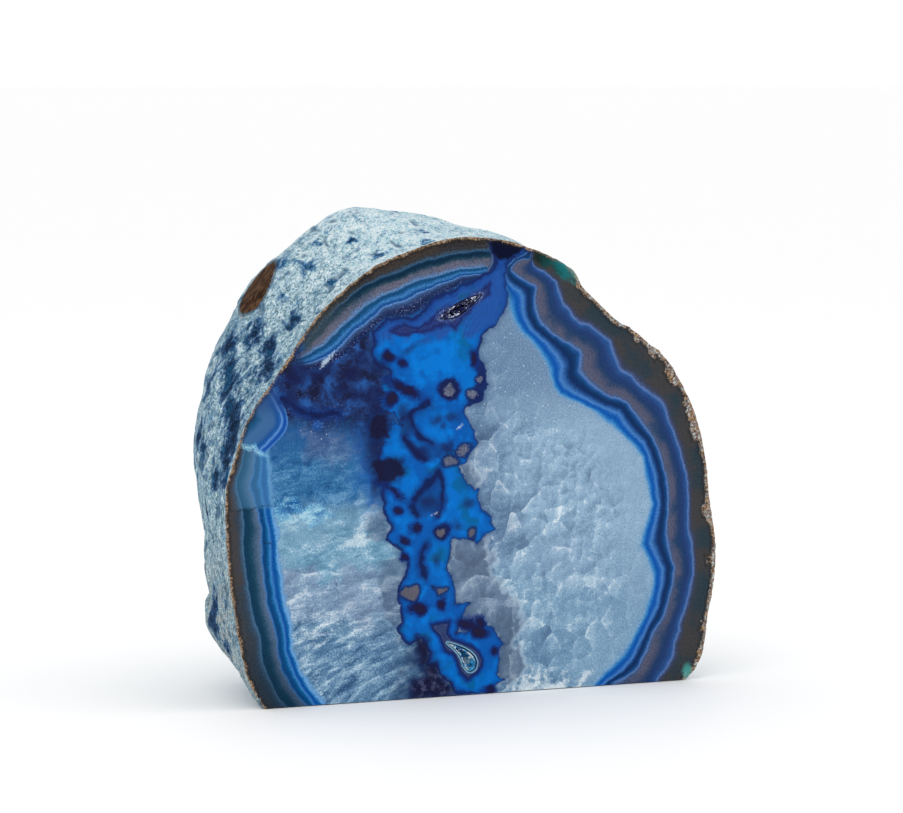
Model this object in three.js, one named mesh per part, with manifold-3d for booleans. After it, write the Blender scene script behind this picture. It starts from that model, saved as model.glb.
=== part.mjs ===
// Half of a blue-dyed agate geode: a lumpy nodule sawn flat across its banded heart, polished there, and sawn
// again underneath so that it stands by itself. Two small crystal-lined pockets open in the polished face.
// Millimetres, +Z up. The polished face looks towards -Y and the sawn base lies on Z = 0.
import * as THREE from "three";
import { ImprovedNoise } from "three/addons/math/ImprovedNoise.js";
import { mergeVertices } from "three/addons/utils/BufferGeometryUtils.js";
import Module from "manifold-3d";

// The nodule
const HEART_HEIGHT = 46; // height of the nodule's middle above the base
const DEPTH = 61; // from the polished face to the back
const GIRTH_DEPTH = 25; // from the polished face to the nodule's largest section
const FULLNESS = 0.72; // below 1 the back is fuller than an ellipsoid, above 1 it is more pointed
const BACK_SHIFT = { x: 3, z: -3 }; // where the back's middle lies from the heart
const AROUND = 132; // facets round the nodule
const ALONG = 53; // facets from front to back, odd so that no ring lies in the saw's plane

// The rim of the polished face as [x, z], clockwise from the base's left corner and closed below the base
const RIM = [
  [-50.5, 0], [-54.2, 6], [-56.2, 14], [-57.6, 22], [-58.8, 31], [-59.3, 39], [-59.1, 48], [-57.2, 54],
  [-55.6, 59], [-52.8, 64.6], [-47.8, 71], [-43.8, 76.6], [-38.6, 83.4], [-32, 89.4], [-25, 94.2], [-17, 97.4],
  [-8, 100], [0, 100.4], [8, 99.3], [13.6, 97.5], [18.4, 95.6], [23.8, 92.3], [25.4, 89.2], [31, 84.1],
  [34.6, 80.8], [37.6, 79.7], [41.4, 76.6], [46, 73.3], [49.4, 68.6], [53, 62.4], [55.2, 56.4], [56.9, 48.4],
  [57.8, 40], [59.1, 33], [59.4, 27], [58.7, 20], [57.1, 12.6], [56.7, 7], [54.6, 2.6], [52, 0],
  [44, -6], [30, -12.5], [0, -17], [-30, -13], [-43, -7],
];
// The largest section, which stands out past the rim at the upper left and over a ledge at the lower left
const GIRTH = [
  [-40.5, 0.5], [-45.2, 6], [-54.2, 14], [-56, 18.2], [-53.6, 22.4], [-54, 29], [-56.4, 40], [-58, 51],
  [-57.4, 58.6], [-55.3, 67], [-52.2, 76], [-48.6, 82.2], [-44, 88.4], [-37.8, 94.2], [-31, 100.2],
  [-24.6, 105], [-18, 106.8], [-9, 105], [4, 102], [17, 97.2], [26, 90.5], [37, 82], [48, 72], [55, 59],
  [57.5, 44], [57, 29], [54.5, 15], [49, 3], [43, -5], [27, -14], [0, -18], [-27, -14], [-37, -6],
];

// The rind's relief: lumps and knobs all over, dying out towards the rim, pits strewn over the back, and single
// swellings and dents
const LUMPS = { size: 20, height: 2.4 };
const KNOBS = { size: 7.5, height: 0.9 };
const RELIEF_START = new THREE.Vector3(7.3, 2.1, 4.7); // the place in the noise that the relief is taken from
const RIM_CALM = 12; // depth behind the rim at which the relief reaches its full height
const PITS = { count: 26, width: 4.2, depth: 1.3, firstAt: 0.3, lastAt: 0.97 };
const SWELLINGS = [
  { at: [-43.5, 23, 90], width: 8, height: 1.6 },
  { at: [24, 47, 78], width: 15, height: 2.4 },
  { at: [44, 36, 28], width: 14, height: 2.2 },
  { at: [-26, 50, 42], width: 13, height: -2 },
  { at: [8, 58, 60], width: 12, height: 1.6 },
];
// The flat scar where a knob broke off the rind
const SCAR = { at: [-43.4, 23, 89.5], out: [-0.76, -0.05, 0.65] };

// The pockets that open in the face: the line they follow as [x, z] from end to end, half their width at each
// of its points, how deep they go, and how many crystals stand along the line and across it
const POCKETS = [
  {
    crust: "upper_pocket_crystals",
    line: [[-9.4, 82.9], [-6.2, 83.9], [-3.2, 85.5], [1.2, 87.9]],
    halfWidths: [0.9, 1.4, 1.4, 1.0],
    depth: 3.8,
    crystals: { along: 8, across: 3 },
    finish: { color: 0x6a6fb0, roughness: 0.2, metalness: 0 },
  },
  {
    crust: "lower_pocket_crystals",
    line: [[-7.4, 11.8], [-4.6, 10.2], [-2.6, 8.4], [-1.7, 6.6], [-1.8, 4.9]],
    halfWidths: [0.5, 0.9, 1.5, 2.1, 2.1],
    depth: 4.2,
    crystals: { along: 6, across: 4 },
    finish: { color: 0x6fc0d6, roughness: 0.2, metalness: 0 },
  },
];
const CRUST_GAP = 0.3; // between a pocket's wall and the crust that lines it
const CRUST_WALL = 0.3;
const CRUST_BELOW_FACE = 0.3; // so far the crust's edge stays behind the polished face
const POCKET_FACETS = { round: 14, along: 12 };
// The crystals: six-sided points, how far their roots reach into the crust, how they lean in over the pocket,
// and the share of a pocket's length and width over which they stand
const CRYSTAL = { sides: 6, width: 0.95, shaft: 0.4, point: 0.7, root: 3, leanIn: 0.3 };
const CRYSTAL_SIZES = [0.75, 1.05, 0.9, 1.25, 0.8, 1.15, 0.95];
const CRYSTALS_REACH = 0.88;

const STONE_FINISH = { color: 0x5c86b4, roughness: 0.35, metalness: 0 };

const wasm = await Module();
wasm.setup();
const noise = new ImprovedNoise();
const { clamp, lerp, smoothstep } = THREE.MathUtils;
const FULL_TURN = 2 * Math.PI;
const GOLDEN_ANGLE = Math.PI * (3 - Math.sqrt(5));

// A closed three.js geometry as a solid that can be joined and cut
function solidOf(geometry) {
  const bare = geometry.clone();
  bare.deleteAttribute("normal");
  bare.deleteAttribute("uv");
  const merged = mergeVertices(bare, 1e-4);
  const mesh = new wasm.Mesh({
    numProp: 3,
    vertProperties: merged.attributes.position.array,
    triVerts: new Uint32Array(merged.index.array),
  });
  return new wasm.Manifold(mesh);
}

// A solid as a named mesh with the finish of its stone
function meshOf(solid, name, finish) {
  const { vertProperties, triVerts } = solid.getMesh();
  const geometry = new THREE.BufferGeometry();
  geometry.setAttribute("position", new THREE.BufferAttribute(vertProperties, 3));
  geometry.setIndex(new THREE.BufferAttribute(triVerts, 1));
  geometry.computeVertexNormals();
  const mesh = new THREE.Mesh(geometry, new THREE.MeshStandardMaterial(finish));
  mesh.name = name;
  return mesh;
}

// Radius from the heart as a function of the angle, for a smooth closed curve through an outline's points
function radiusRound(outline) {
  const points = outline.map(([x, z]) => new THREE.Vector3(x, 0, z - HEART_HEIGHT));
  const curve = new THREE.CatmullRomCurve3(points, true, "centripetal");
  const walk = curve.getPoints(outline.length * 20).map((p) => {
    return { angle: Math.atan2(p.z, p.x), radius: Math.hypot(p.x, p.z) };
  });
  walk.sort((a, b) => a.angle - b.angle);
  walk.push({ angle: walk[0].angle + FULL_TURN, radius: walk[0].radius });
  return (angle) => {
    const turned = angle < walk[0].angle ? angle + FULL_TURN : angle;
    const next = Math.max(1, walk.findIndex((step) => step.angle >= turned));
    const [low, high] = [walk[next - 1], walk[next]];
    const share = (turned - low.angle) / Math.max(high.angle - low.angle, 1e-9);
    return lerp(low.radius, high.radius, share);
  };
}

// Directions from the heart to the pits, wound round the nodule from near the rim to the back
const pitDirections = Array.from({ length: PITS.count }, (_, k) => {
  const behind = lerp(PITS.firstAt, PITS.lastAt, k / (PITS.count - 1));
  const section = Math.sqrt(1 - behind ** 2);
  return new THREE.Vector3(section * Math.cos(k * GOLDEN_ANGLE), behind, section * Math.sin(k * GOLDEN_ANGLE));
});

// How far the rind stands out from the plain nodule at a point, in a direction from the heart
function relief(point, direction) {
  const noiseOf = ({ size, height }) => {
    const at = point.clone().divideScalar(size).add(RELIEF_START);
    return height * noise.noise(at.x, at.y, at.z);
  };
  const hump = (away, width) => Math.exp(-((away / width) ** 2));
  let height = (noiseOf(LUMPS) + noiseOf(KNOBS)) * smoothstep(point.y, 0, RIM_CALM);
  for (const pit of pitDirections) {
    height -= PITS.depth * hump(pit.distanceTo(direction) * DEPTH, PITS.width);
  }
  for (const swelling of SWELLINGS) {
    height += swelling.height * hump(point.distanceTo(new THREE.Vector3(...swelling.at)), swelling.width);
  }
  return height;
}

// The whole nodule before sawing: a sphere with its poles at front and back, drawn out to the rim and the girth
function nodule() {
  const geometry = new THREE.SphereGeometry(1, AROUND, ALONG).rotateX(Math.PI / 2);
  const rimRadius = radiusRound(RIM);
  const girthRadius = radiusRound(GIRTH);
  const girthAt = GIRTH_DEPTH / DEPTH;
  const girthTaper = (1 - girthAt ** 2) ** (FULLNESS / 2);
  const places = geometry.attributes.position;
  const point = new THREE.Vector3();
  for (let i = 0; i < places.count; i++) {
    point.fromBufferAttribute(places, i);
    const angle = Math.atan2(point.z, point.x);
    const behind = clamp(point.y, -1, 1);
    const out = point.clone();
    const towardsGirth = smoothstep(Math.abs(behind), 0, girthAt);
    const drawn = lerp(rimRadius(angle), girthRadius(angle) / girthTaper, towardsGirth);
    const radius = drawn * Math.hypot(point.x, point.z) ** FULLNESS;
    point.x = radius * Math.cos(angle) + BACK_SHIFT.x * behind ** 2;
    point.y = DEPTH * behind;
    point.z = HEART_HEIGHT + radius * Math.sin(angle) + BACK_SHIFT.z * behind ** 2;
    point.addScaledVector(out, relief(point, out));
    places.setXYZ(i, point.x, point.y, point.z);
  }
  return solidOf(geometry);
}

// A block that takes away everything beyond a plane, as a saw or a blow does
function beyond(at, out) {
  const side = 4 * DEPTH;
  const block = new THREE.BoxGeometry(side, side, side).translate(0, 0, side / 2);
  const direction = new THREE.Vector3(...out).normalize();
  const turn = new THREE.Quaternion().setFromUnitVectors(new THREE.Vector3(0, 0, 1), direction);
  return solidOf(block.applyQuaternion(turn).translate(...at));
}

// The surface at a given inset from a pocket's wall, as a function of a unit direction whose x runs along the
// pocket's line, z across it and y into the stone
function liningOf({ line, halfWidths, depth }) {
  const curve = new THREE.CatmullRomCurve3(line.map(([x, z]) => new THREE.Vector3(x, 0, z)));
  const widths = new THREE.SplineCurve(halfWidths.map((half, i) => new THREE.Vector2(i, half)));
  const length = curve.getLength();
  return (inset, direction) => {
    const share = 0.5 + direction.x * (0.5 - inset / length);
    const ahead = curve.getTangent(share);
    const across = new THREE.Vector3(-ahead.z, 0, ahead.x);
    const halfWidth = widths.getPoint(share).y - inset;
    const place = curve.getPoint(share).addScaledVector(across, direction.z * halfWidth);
    place.y = direction.y * (depth - inset);
    return place;
  };
}

// The space inside a pocket's lining at an inset: a sphere drawn out along the pocket's line
function hollow(lining, inset) {
  const geometry = new THREE.SphereGeometry(1, POCKET_FACETS.round, POCKET_FACETS.along).rotateZ(Math.PI / 2);
  const places = geometry.attributes.position;
  for (let i = 0; i < places.count; i++) {
    const place = lining(inset, new THREE.Vector3().fromBufferAttribute(places, i));
    places.setXYZ(i, place.x, place.y, place.z);
  }
  return solidOf(geometry);
}

// One quartz crystal: a six-sided shaft under a six-sided point, growing from a root towards a goal
function crystal(root, goal, size, turn) {
  const half = (CRYSTAL.width / 2) * size;
  const shaft = CRYSTAL.shaft * size;
  const profile = [
    [0, -CRYSTAL.root],
    [half, -CRYSTAL.root],
    [half, shaft],
    [0, shaft + CRYSTAL.point * size],
  ];
  const points = profile.map(([radius, height]) => new THREE.Vector2(radius, height));
  const geometry = new THREE.LatheGeometry(points, CRYSTAL.sides).rotateY(turn);
  const direction = goal.clone().sub(root).normalize();
  const lean = new THREE.Quaternion().setFromUnitVectors(new THREE.Vector3(0, 1, 0), direction);
  return solidOf(geometry.applyQuaternion(lean).translate(root.x, root.y, root.z));
}

// A place from end to end of a row, as a share of the pocket's half length or half width
const spread = (index, count) => (index / (count - 1) - 0.5) * 2 * CRYSTALS_REACH;

// The crystals that line a pocket: a thin crust with quartz points all over its inside, towards the mouth
function crust(pocket) {
  const lining = liningOf(pocket);
  const bed = hollow(lining, CRUST_GAP);
  const inside = CRUST_GAP + CRUST_WALL;
  const { along, across } = pocket.crystals;
  let grown = bed.subtract(hollow(lining, inside));
  for (let i = 0; i < along; i++) {
    for (let k = 0; k < across; k++) {
      const end = spread(i + (k % 2) / 2, along + 0.5);
      const side = spread(k, across);
      const section = Math.sqrt(1 - end ** 2);
      const into = section * Math.sqrt(1 - side ** 2);
      const root = lining(inside, new THREE.Vector3(end, into, side * section));
      const goal = lining(inside, new THREE.Vector3(end, -1, side * section * CRYSTAL.leanIn));
      const count = i * across + k;
      const size = CRYSTAL_SIZES[count % CRYSTAL_SIZES.length];
      grown = grown.add(crystal(root, goal, size, count * GOLDEN_ANGLE));
    }
  }
  return grown.intersect(bed).subtract(beyond([0, CRUST_BELOW_FACE, 0], [0, -1, 0]));
}

let stone = nodule()
  .subtract(beyond([0, 0, 0], [0, -1, 0]))
  .subtract(beyond([0, 0, 0], [0, 0, -1]))
  .subtract(beyond(SCAR.at, SCAR.out));
for (const pocket of POCKETS) {
  stone = stone.subtract(hollow(liningOf(pocket), 0));
}

// The origin is under the middle of the stone
const agate = new THREE.Group();
agate.add(meshOf(stone, "geode_half", STONE_FINISH));
for (const pocket of POCKETS) {
  agate.add(meshOf(crust(pocket), pocket.crust, pocket.finish));
}
const middle = new THREE.Box3().setFromObject(agate).getCenter(new THREE.Vector3());
agate.position.set(-middle.x, -middle.y, 0);
export default agate;
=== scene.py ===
"""A blue-dyed agate geode half: polished cut face, stained rind, sawn base and two crystal pockets."""

import math

import bmesh
import bpy
import numpy as np
from bpy.props import FloatProperty, FloatVectorProperty, IntProperty, PointerProperty
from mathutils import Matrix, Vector, noise
from mathutils.bvhtree import BVHTree
from mathutils.geometry import delaunay_2d_cdt


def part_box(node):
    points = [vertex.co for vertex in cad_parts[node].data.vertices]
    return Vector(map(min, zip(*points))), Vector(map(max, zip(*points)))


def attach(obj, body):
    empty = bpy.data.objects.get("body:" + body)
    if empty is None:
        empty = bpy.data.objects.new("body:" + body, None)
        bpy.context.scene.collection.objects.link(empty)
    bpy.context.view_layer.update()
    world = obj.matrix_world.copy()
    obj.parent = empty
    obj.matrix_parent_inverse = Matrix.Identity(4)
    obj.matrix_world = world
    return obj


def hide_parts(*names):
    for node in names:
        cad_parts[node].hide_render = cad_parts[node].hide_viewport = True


bl_info = {
    "name": "Geode half",
    "version": (1, 0, 0),
    "blender": (4, 5, 0),
    "location": "View3D > Sidebar > Geode half",
    "description": "Builds a blue-dyed agate geode half around its packed solids",
    "category": "Object",
}

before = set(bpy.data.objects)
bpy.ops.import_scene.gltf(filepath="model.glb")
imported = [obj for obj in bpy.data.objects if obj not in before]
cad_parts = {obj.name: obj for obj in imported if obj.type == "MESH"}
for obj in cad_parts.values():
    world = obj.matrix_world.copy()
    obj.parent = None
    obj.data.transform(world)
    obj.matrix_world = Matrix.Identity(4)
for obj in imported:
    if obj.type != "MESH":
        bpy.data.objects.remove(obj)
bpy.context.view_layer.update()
MM = 0.001

# The face is drawn in millimetres: x from the middle of the cut, z up from the sawn base.
FACE_LEFT_END = -59.383

# Bands of the right wall, from the rind inwards. The second and third turn back round a blunt upper tip.
RIGHT_BANDS = (
    ((13.4, 104), (13.2, 94.8), (13.6, 93.8), (15, 93), (16.5, 92.4), (18, 91.3), (19.2, 90.3),
     (19.8, 88.5), (21, 85.2), (22.5, 83.8), (23.5, 82.3), (25, 81.2), (27.5, 80.5), (29.5, 79),
     (32.5, 77), (32.8, 76), (33.2, 74.5), (34.2, 72.5), (34.7, 71), (35.5, 70), (37.8, 69), (39.5, 67.2),
     (41, 65.8), (45.3, 63.2), (46.5, 61.5), (47.3, 58), (49, 55), (50.5, 51), (51.8, 46.5), (52.5, 41),
     (52.2, 38.5), (52.4, 34), (53.3, 31), (53.7, 26), (53.7, 23.5), (52.7, 19.5), (51.3, 15),
     (50.3, 12.8), (50, 11), (48.8, 7.5), (48.5, 5), (46.5, 2.5), (44.5, 0)),
    ((13.3, 104), (13, 95.2), (11, 95.4), (9, 94.8), (8.1, 93.8), (8.3, 92.8), (9.5, 91.7), (11.5, 90.7),
     (13.5, 89.8), (14.2, 89.2), (14, 87.8), (13.7, 86), (14.5, 82.5), (15.5, 81), (18.5, 78.8),
     (21.5, 76.8), (23.5, 75.8), (25.2, 74.9), (25.5, 74), (25.2, 72.5), (25, 70.5), (25.8, 69),
     (28.5, 66.8), (31, 65.2), (33, 64.2), (35, 63.8), (36.7, 63), (38, 61.5), (41, 57.8), (43.5, 54.8),
     (45.3, 50.5), (46.8, 45.5), (47.3, 41), (47, 36.5), (46.7, 33), (47.2, 31), (48, 27.3), (48.8, 25.5),
     (48.3, 21.5), (47, 17), (46.3, 15), (43.8, 11.5), (42, 7.8), (40, 3.8), (38.8, 2.5), (35, 0.9),
     (33, 0)),
    ((12.6, 104), (12.3, 97.4), (11, 96.1), (9, 95.3), (7, 93.9), (6.5, 92), (6.9, 90.6), (8.5, 89.3),
     (10.5, 88), (11, 87.2), (10.8, 84.5), (11.3, 82.5), (13.5, 79.3), (16.5, 76.8), (19.3, 74),
     (20.5, 71.4), (20.2, 68.5), (21.3, 67), (23, 65.8), (27, 63.8), (31, 62), (34.5, 60.7), (36, 58.5),
     (38, 56.2), (41, 53.8), (42.5, 50.5), (43.8, 46.5), (44.8, 40), (44, 36), (42.7, 31.5), (43.3, 30),
     (46, 25.3), (45.5, 21.5), (44.5, 17), (42.3, 13), (40.3, 9.5), (38.5, 6), (36, 3.3), (32, 1),
     (30.5, 0)),
    ((5, 104), (6, 92), (7, 88), (8, 84), (9, 81.5), (10.5, 79.5), (13.5, 76.8), (16, 73.8), (17.5, 70.5),
     (18.6, 67), (20, 65.3), (24, 63.6), (28, 61.7), (31.5, 59), (35, 56.3), (38, 53.7), (40.7, 50.5),
     (41.3, 46.5), (43, 40), (41.7, 36), (40.2, 31), (42.5, 26.8), (43.5, 23.5), (42.8, 19.5),
     (41.3, 15.5), (39.2, 11.5), (37, 8), (34, 5), (31, 2.5), (28.5, 0)),
)

# Bands of the left wall, from the rind inwards.
LEFT_BANDS = (
    ((-52, 104), (-54.8, 57), (-55.5, 53), (-56.3, 51), (-56.9, 49), (-56.3, 45), (-55.6, 43.5),
     (-55.2, 40), (-55.4, 36), (-55.2, 32), (-54.5, 28), (-53.8, 24), (-53, 20), (-51.6, 16), (-51.1, 14),
     (-51.3, 12), (-50.2, 8.5), (-49, 5.5), (-47.2, 2), (-45.3, 0)),
    ((-50, 104), (-52.4, 57), (-53, 51), (-53.7, 49), (-53.5, 47), (-52, 43), (-51.2, 39), (-51.2, 33),
     (-50.6, 27.5), (-49.9, 22.5), (-48.6, 18.5), (-47.5, 14), (-47.6, 12), (-46.5, 8), (-45, 5),
     (-42.8, 2), (-40.5, 0)),
    ((-48, 104), (-51.1, 57), (-51.2, 52), (-51.4, 48), (-50.4, 43), (-49.6, 39), (-49.2, 36), (-49, 30),
     (-48.1, 24), (-46.8, 19.5), (-45.8, 15), (-45.7, 12.5), (-44.5, 8.5), (-42.3, 4.5), (-38.7, 0)),
    ((-46, 104), (-49.9, 57), (-49.7, 54.5), (-49.2, 49), (-48.8, 45), (-48, 39), (-47.4, 33),
     (-46.8, 27.5), (-46, 22.5), (-44.6, 17.5), (-44.2, 12.5), (-42.8, 8.5), (-40.5, 4.3), (-37, 0)),
)

# Arcs under the rind of the upper left, from the rind inwards.
UPPER_ARCS = (
    ((2.6, 93.9), (3.5, 94.4), (4, 95.2), (3.8, 96.1), (3, 96.7), (1.5, 96.8), (-2, 96.2), (-5, 96.3),
     (-9, 95.2), (-14, 94.2), (-18, 92.5), (-23, 91.2), (-27, 89.5), (-30, 87.8), (-34, 84.5),
     (-38, 80.5), (-40, 78.5), (-43, 75.8)),
    ((2.6, 93.8), (1.6, 93.7), (-1, 93.6), (-4.5, 93.6), (-9, 92.2), (-15, 91), (-20, 89), (-24, 87.6),
     (-27, 85.6), (-30, 83.5), (-33.5, 80.5), (-37, 77.5), (-40, 76), (-43.5, 74.8)),
    ((3.2, 92.9), (2.2, 92.3), (-4, 92), (-5.5, 91.2), (-12, 89.3), (-17, 87), (-22.5, 85.5), (-24, 84),
     (-27, 82), (-29.5, 80.5), (-32.5, 77.5), (-36, 75.2), (-39.5, 74), (-44.3, 73.6)),
    ((2.6, 92), (-4, 90.3), (-6, 89), (-10.5, 87), (-13, 85), (-16, 83.5), (-22, 83.2), (-25, 80.7),
     (-28, 78.5), (-31, 75.8), (-35, 73.8), (-39.5, 72.6), (-45, 72.2)),
)
ARC_FIELD = (
    (4.1, 100.5), (4.3, 95), (2.6, 92), (-4, 90.3), (-6, 89), (-10.5, 87), (-13, 85), (-16, 83.5),
    (-22, 83.2), (-25, 80.7), (-28, 78.5), (-31, 75.8), (-35, 73.8), (-39.5, 72.6), (-47, 72), (-48, 76),
    (-30, 104),
)

# Corners that close each set of lines, from a line's last point to its first, round its inner side.
RIGHT_SIDE = ((-10, -3), (-10, 104))
LEFT_SIDE = ((20, -3), (20, 104))
ARC_SIDE = ((-45, 40), (4, 40))

# A small lens of bands at the left rim, two fine fissures, and the bright crack under the lens.
LENS = ((-56.3, 58.6), (-56, 60.5), (-54.8, 63.5), (-52, 67), (-50, 68.8), (-48.2, 69.2), (-46.7, 66.4),
        (-45.4, 64.2), (-44.9, 62.3), (-45, 60.5), (-45.8, 59), (-47.3, 57.5), (-49, 56), (-50.2, 55.1),
        (-51.3, 55.3), (-52.4, 55.9), (-53, 57), (-54, 56.6), (-55.5, 57))
LENS_BORDER = ((-48.6, 69.6), (-46.7, 66.4), (-45.4, 64.2), (-44.9, 62.3), (-45, 60.5), (-45.8, 59),
               (-47.3, 57.5), (-49, 56), (-50.2, 55))
FISSURES = (
    ((-58.8, 43.4), (-56.2, 42.7), (-54.2, 42.9), (-52, 43.6), (-48.4, 43.9)),
    ((-50.6, 35.4), (-48.5, 35.6)),
)
CRACK = ((-56.7, 58.8), (-55.5, 57), (-54, 56.5), (-53, 57), (-52.2, 55.8), (-51, 55.2), (-50, 54.8))

# The blue vein up the middle of the face, as a closed outline.
VEIN = (
    (3.7, 0), (3.8, 1), (5.5, 2.2), (7, 2.7), (5.2, 4.2), (5, 5.5), (5.6, 8), (6, 9.5), (7.2, 10.3),
    (6.7, 11.3), (5, 13.3), (3.5, 14.8), (2.5, 15.3), (1.5, 16.8), (-0.5, 15.2), (-2.5, 13.8), (-4.5, 14),
    (-3.8, 15.5), (-3, 19), (-1.5, 20), (-5.2, 20.2), (-5.5, 22.5), (-6.2, 26), (-7, 28.5), (-6.8, 32),
    (-6.2, 34.4), (-0.8, 34.3), (0, 33.2), (1, 33.8), (2.8, 35.5), (4.5, 36), (3, 37.5), (3.2, 39),
    (2.5, 40), (1.2, 40.5), (0.6, 42.5), (0.8, 45), (-0.5, 45.2), (-2, 46.2), (-3.3, 48), (-4.2, 50.5),
    (-3, 51.5), (-2.2, 53), (0.2, 55), (-0.8, 56.5), (-0.1, 58.2), (-1.3, 59.3), (-2.5, 60.7), (-3.7, 62),
    (-3, 63.3), (-0.5, 64.2), (1.2, 64.7), (1.5, 66.5), (3, 68), (2, 70.5), (1.2, 72.2), (0.5, 73.7),
    (0.3, 75.5), (1, 77), (1.3, 78.7), (2.5, 80), (4.5, 80.7), (5.5, 82), (7.2, 86), (7.3, 87.8),
    (6.5, 90), (6.3, 92), (7, 93.9), (9, 95.3), (11, 96.1), (12.3, 97.4), (12, 101), (3, 102),
    (3.3, 97.6), (4.1, 96.3), (4.2, 95), (3.6, 93.8), (2.4, 92.3), (-4, 90.3), (-6, 89), (-10.5, 87),
    (-13, 85), (-16, 83.5), (-22, 83.2), (-25, 80.7), (-24.3, 78.5), (-25, 77.5), (-25.8, 76),
    (-24.5, 73.8), (-21.5, 71.5), (-21.8, 69), (-22.2, 66), (-22.5, 63.5), (-21, 62), (-21.5, 57.5),
    (-24, 56.5), (-24, 53.5), (-23.3, 49), (-22.8, 45), (-22.3, 43), (-23.2, 42), (-22.3, 40.3),
    (-21, 37.5), (-22.3, 35), (-20.5, 34), (-18, 32.3), (-17.2, 30.2), (-17.3, 28), (-18.2, 25.8),
    (-19, 24.6), (-19.5, 22.5), (-18, 20), (-17.7, 17.5), (-19.7, 15.8), (-18.5, 14), (-17.5, 12.2),
    (-16.5, 11.2), (-13.5, 12.8), (-11.5, 9.8), (-12.3, 7), (-9.8, 6.7), (-9.5, 4.8), (-7, 2.3), (-6, 0),
)
VEIN_MIDDLE = ((6, 104), (5, 90), (-5, 80), (-10, 60), (-11, 30), (-6, 10), (-1, -3))
DARK_ZONE = (
    (-53, 65.5), (-51, 71), (-46, 75.5), (-40, 77), (-36, 76), (-32.5, 77.5), (-29, 80.5), (-26, 82),
    (-23.5, 80), (-24.5, 77.5), (-24, 74), (-20.5, 71.5), (-20.8, 66), (-21, 60), (-22.5, 55), (-23, 51),
    (-26, 53), (-28.5, 57), (-33, 59.5), (-38, 61), (-43, 61.5), (-46, 60.5), (-48, 64),
)
TOP_BLOB = ((3.2, 99), (3.6, 97.4), (5.3, 95.7), (7.2, 95.2), (9.2, 96), (10.6, 97.2), (11, 99.5), (6, 101))
BRIGHT_PATCH = ((-15.5, 71.5), (-15, 74), (-10, 75), (-6, 78.5), (-5, 77), (-6.5, 72), (-12, 70.5))

# Smoky quartz beside the lower vein, grey quartz windows in the vein, and the whitest quartz.
SMOKY_QUARTZ = (
    ((-6.6, 34.4), (-0.8, 34.2), (2.2, 33), (3.6, 30), (3, 26), (5.5, 23), (9, 20), (10.2, 16), (9.3, 12),
     (8, 10), (10.6, 9), (11, 5), (9.5, 2.5), (5.5, 2), (4.8, 5), (5.5, 9), (5, 13), (1, 16.5),
     (-3, 13.5), (-4.8, 14.3), (-3.4, 19), (-5.6, 20.5), (-7, 28)),
    ((-4.4, 51), (-2, 50.7), (-0.8, 49), (0.2, 47.2), (-0.6, 45.4), (-2, 46.4), (-3.4, 48.2)),
    ((-26.4, 40.5), (-24, 41), (-22.2, 40), (-21, 37.5), (-22.3, 35.2), (-24.5, 35), (-26.2, 37)),
    ((-18.5, 32.5), (-17, 30), (-17.5, 27), (-19.2, 24.5), (-19.4, 22), (-18, 19.5), (-20, 16),
     (-22, 17.5), (-23, 24), (-22, 30)),
)
GREY_WINDOWS = (
    ((-18.8, 23.3), (-17, 24.2), (-15, 24.7), (-14.3, 23.5), (-15.3, 21.2), (-18, 22.6)),
    ((-11, 24.3), (-7.6, 24), (-7.7, 23.3), (-9.6, 22.7), (-10.2, 23.5)),
)
GREY_SPOTS = ((-1.2, 65.9, 1.3, 0.9, 0), (0.7, 69.2, 0.8, 0.8, 0), (-3.5, 54, 1.7, 0.9, 20),
              (-6.5, 51.5, 1.8, 1.2, 0), (-1.2, 35.9, 0.9, 1.1, 0), (-6.6, 67.2, 1.4, 1.2, 0),
              (-8.6, 36.2, 1.2, 0.8, 0))
WHITE_QUARTZ = (
    ((8.5, -2), (9, 2.5), (13, 4.3), (17, 3.3), (21, 2.2), (26, 1), (27, -2)),
    ((-31.5, 36.8), (-29, 38.2), (-26.8, 37), (-26.5, 34.5), (-29.5, 33.6), (-31.5, 35)),
    ((-40.5, 15.1), (-36, 15.2), (-35.5, 14.5), (-40, 14)),
)
TEAL_RIM = ((15.5, 95, 2.6, 1.3, -20), (20.5, 92.6, 3.6, 1.6, -30), (52.6, 1.8, 1.1, 1.4, 0))
CYAN_QUARTZ = (
    (-47.6, 43), (-44, 43.8), (-40, 43), (-36, 42.8), (-35.5, 41), (-39, 40), (-43, 40.8), (-47.2, 41.3),
)

# Dark spots in the vein, and fainter ones in it and beside it: the middle, half width, half height and
# turn in degrees of each. Then dark loops, blocks and dusky areas.
DARK_SPOTS = (
    (-21.3, 74.7, 1.2, 1.1, 0), (-18.2, 73.3, 0.9, 0.7, 0), (-17.3, 67.6, 3.5, 1, -25),
    (-20.5, 65.7, 1.3, 1.3, 0), (-6.6, 67.2, 2.4, 2, 0), (-19.8, 45.2, 1.6, 0.4, -32),
    (-18.9, 41.7, 0.7, 0.6, 0), (-14.8, 37.4, 1.2, 0.9, 0), (-17.1, 34.8, 0.9, 0.6, -20),
    (-8.6, 36.3, 1.7, 1.3, 0), (-17.4, 31.1, 0.8, 0.8, 0), (-14.2, 19.7, 1.8, 1.2, 0),
    (-8.7, 20.2, 0.9, 1.3, 0), (0.8, 15.7, 1, 0.9, 0), (4.4, 9.1, 0.9, 0.6, 0), (3, 0.5, 1.3, 0.8, 0),
    (-0.9, 74, 0.6, 1.3, 0), (-2.8, 15.4, 1.8, 1.1, -15), (0.3, 13.9, 1.7, 1.2, -25),
)
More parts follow.
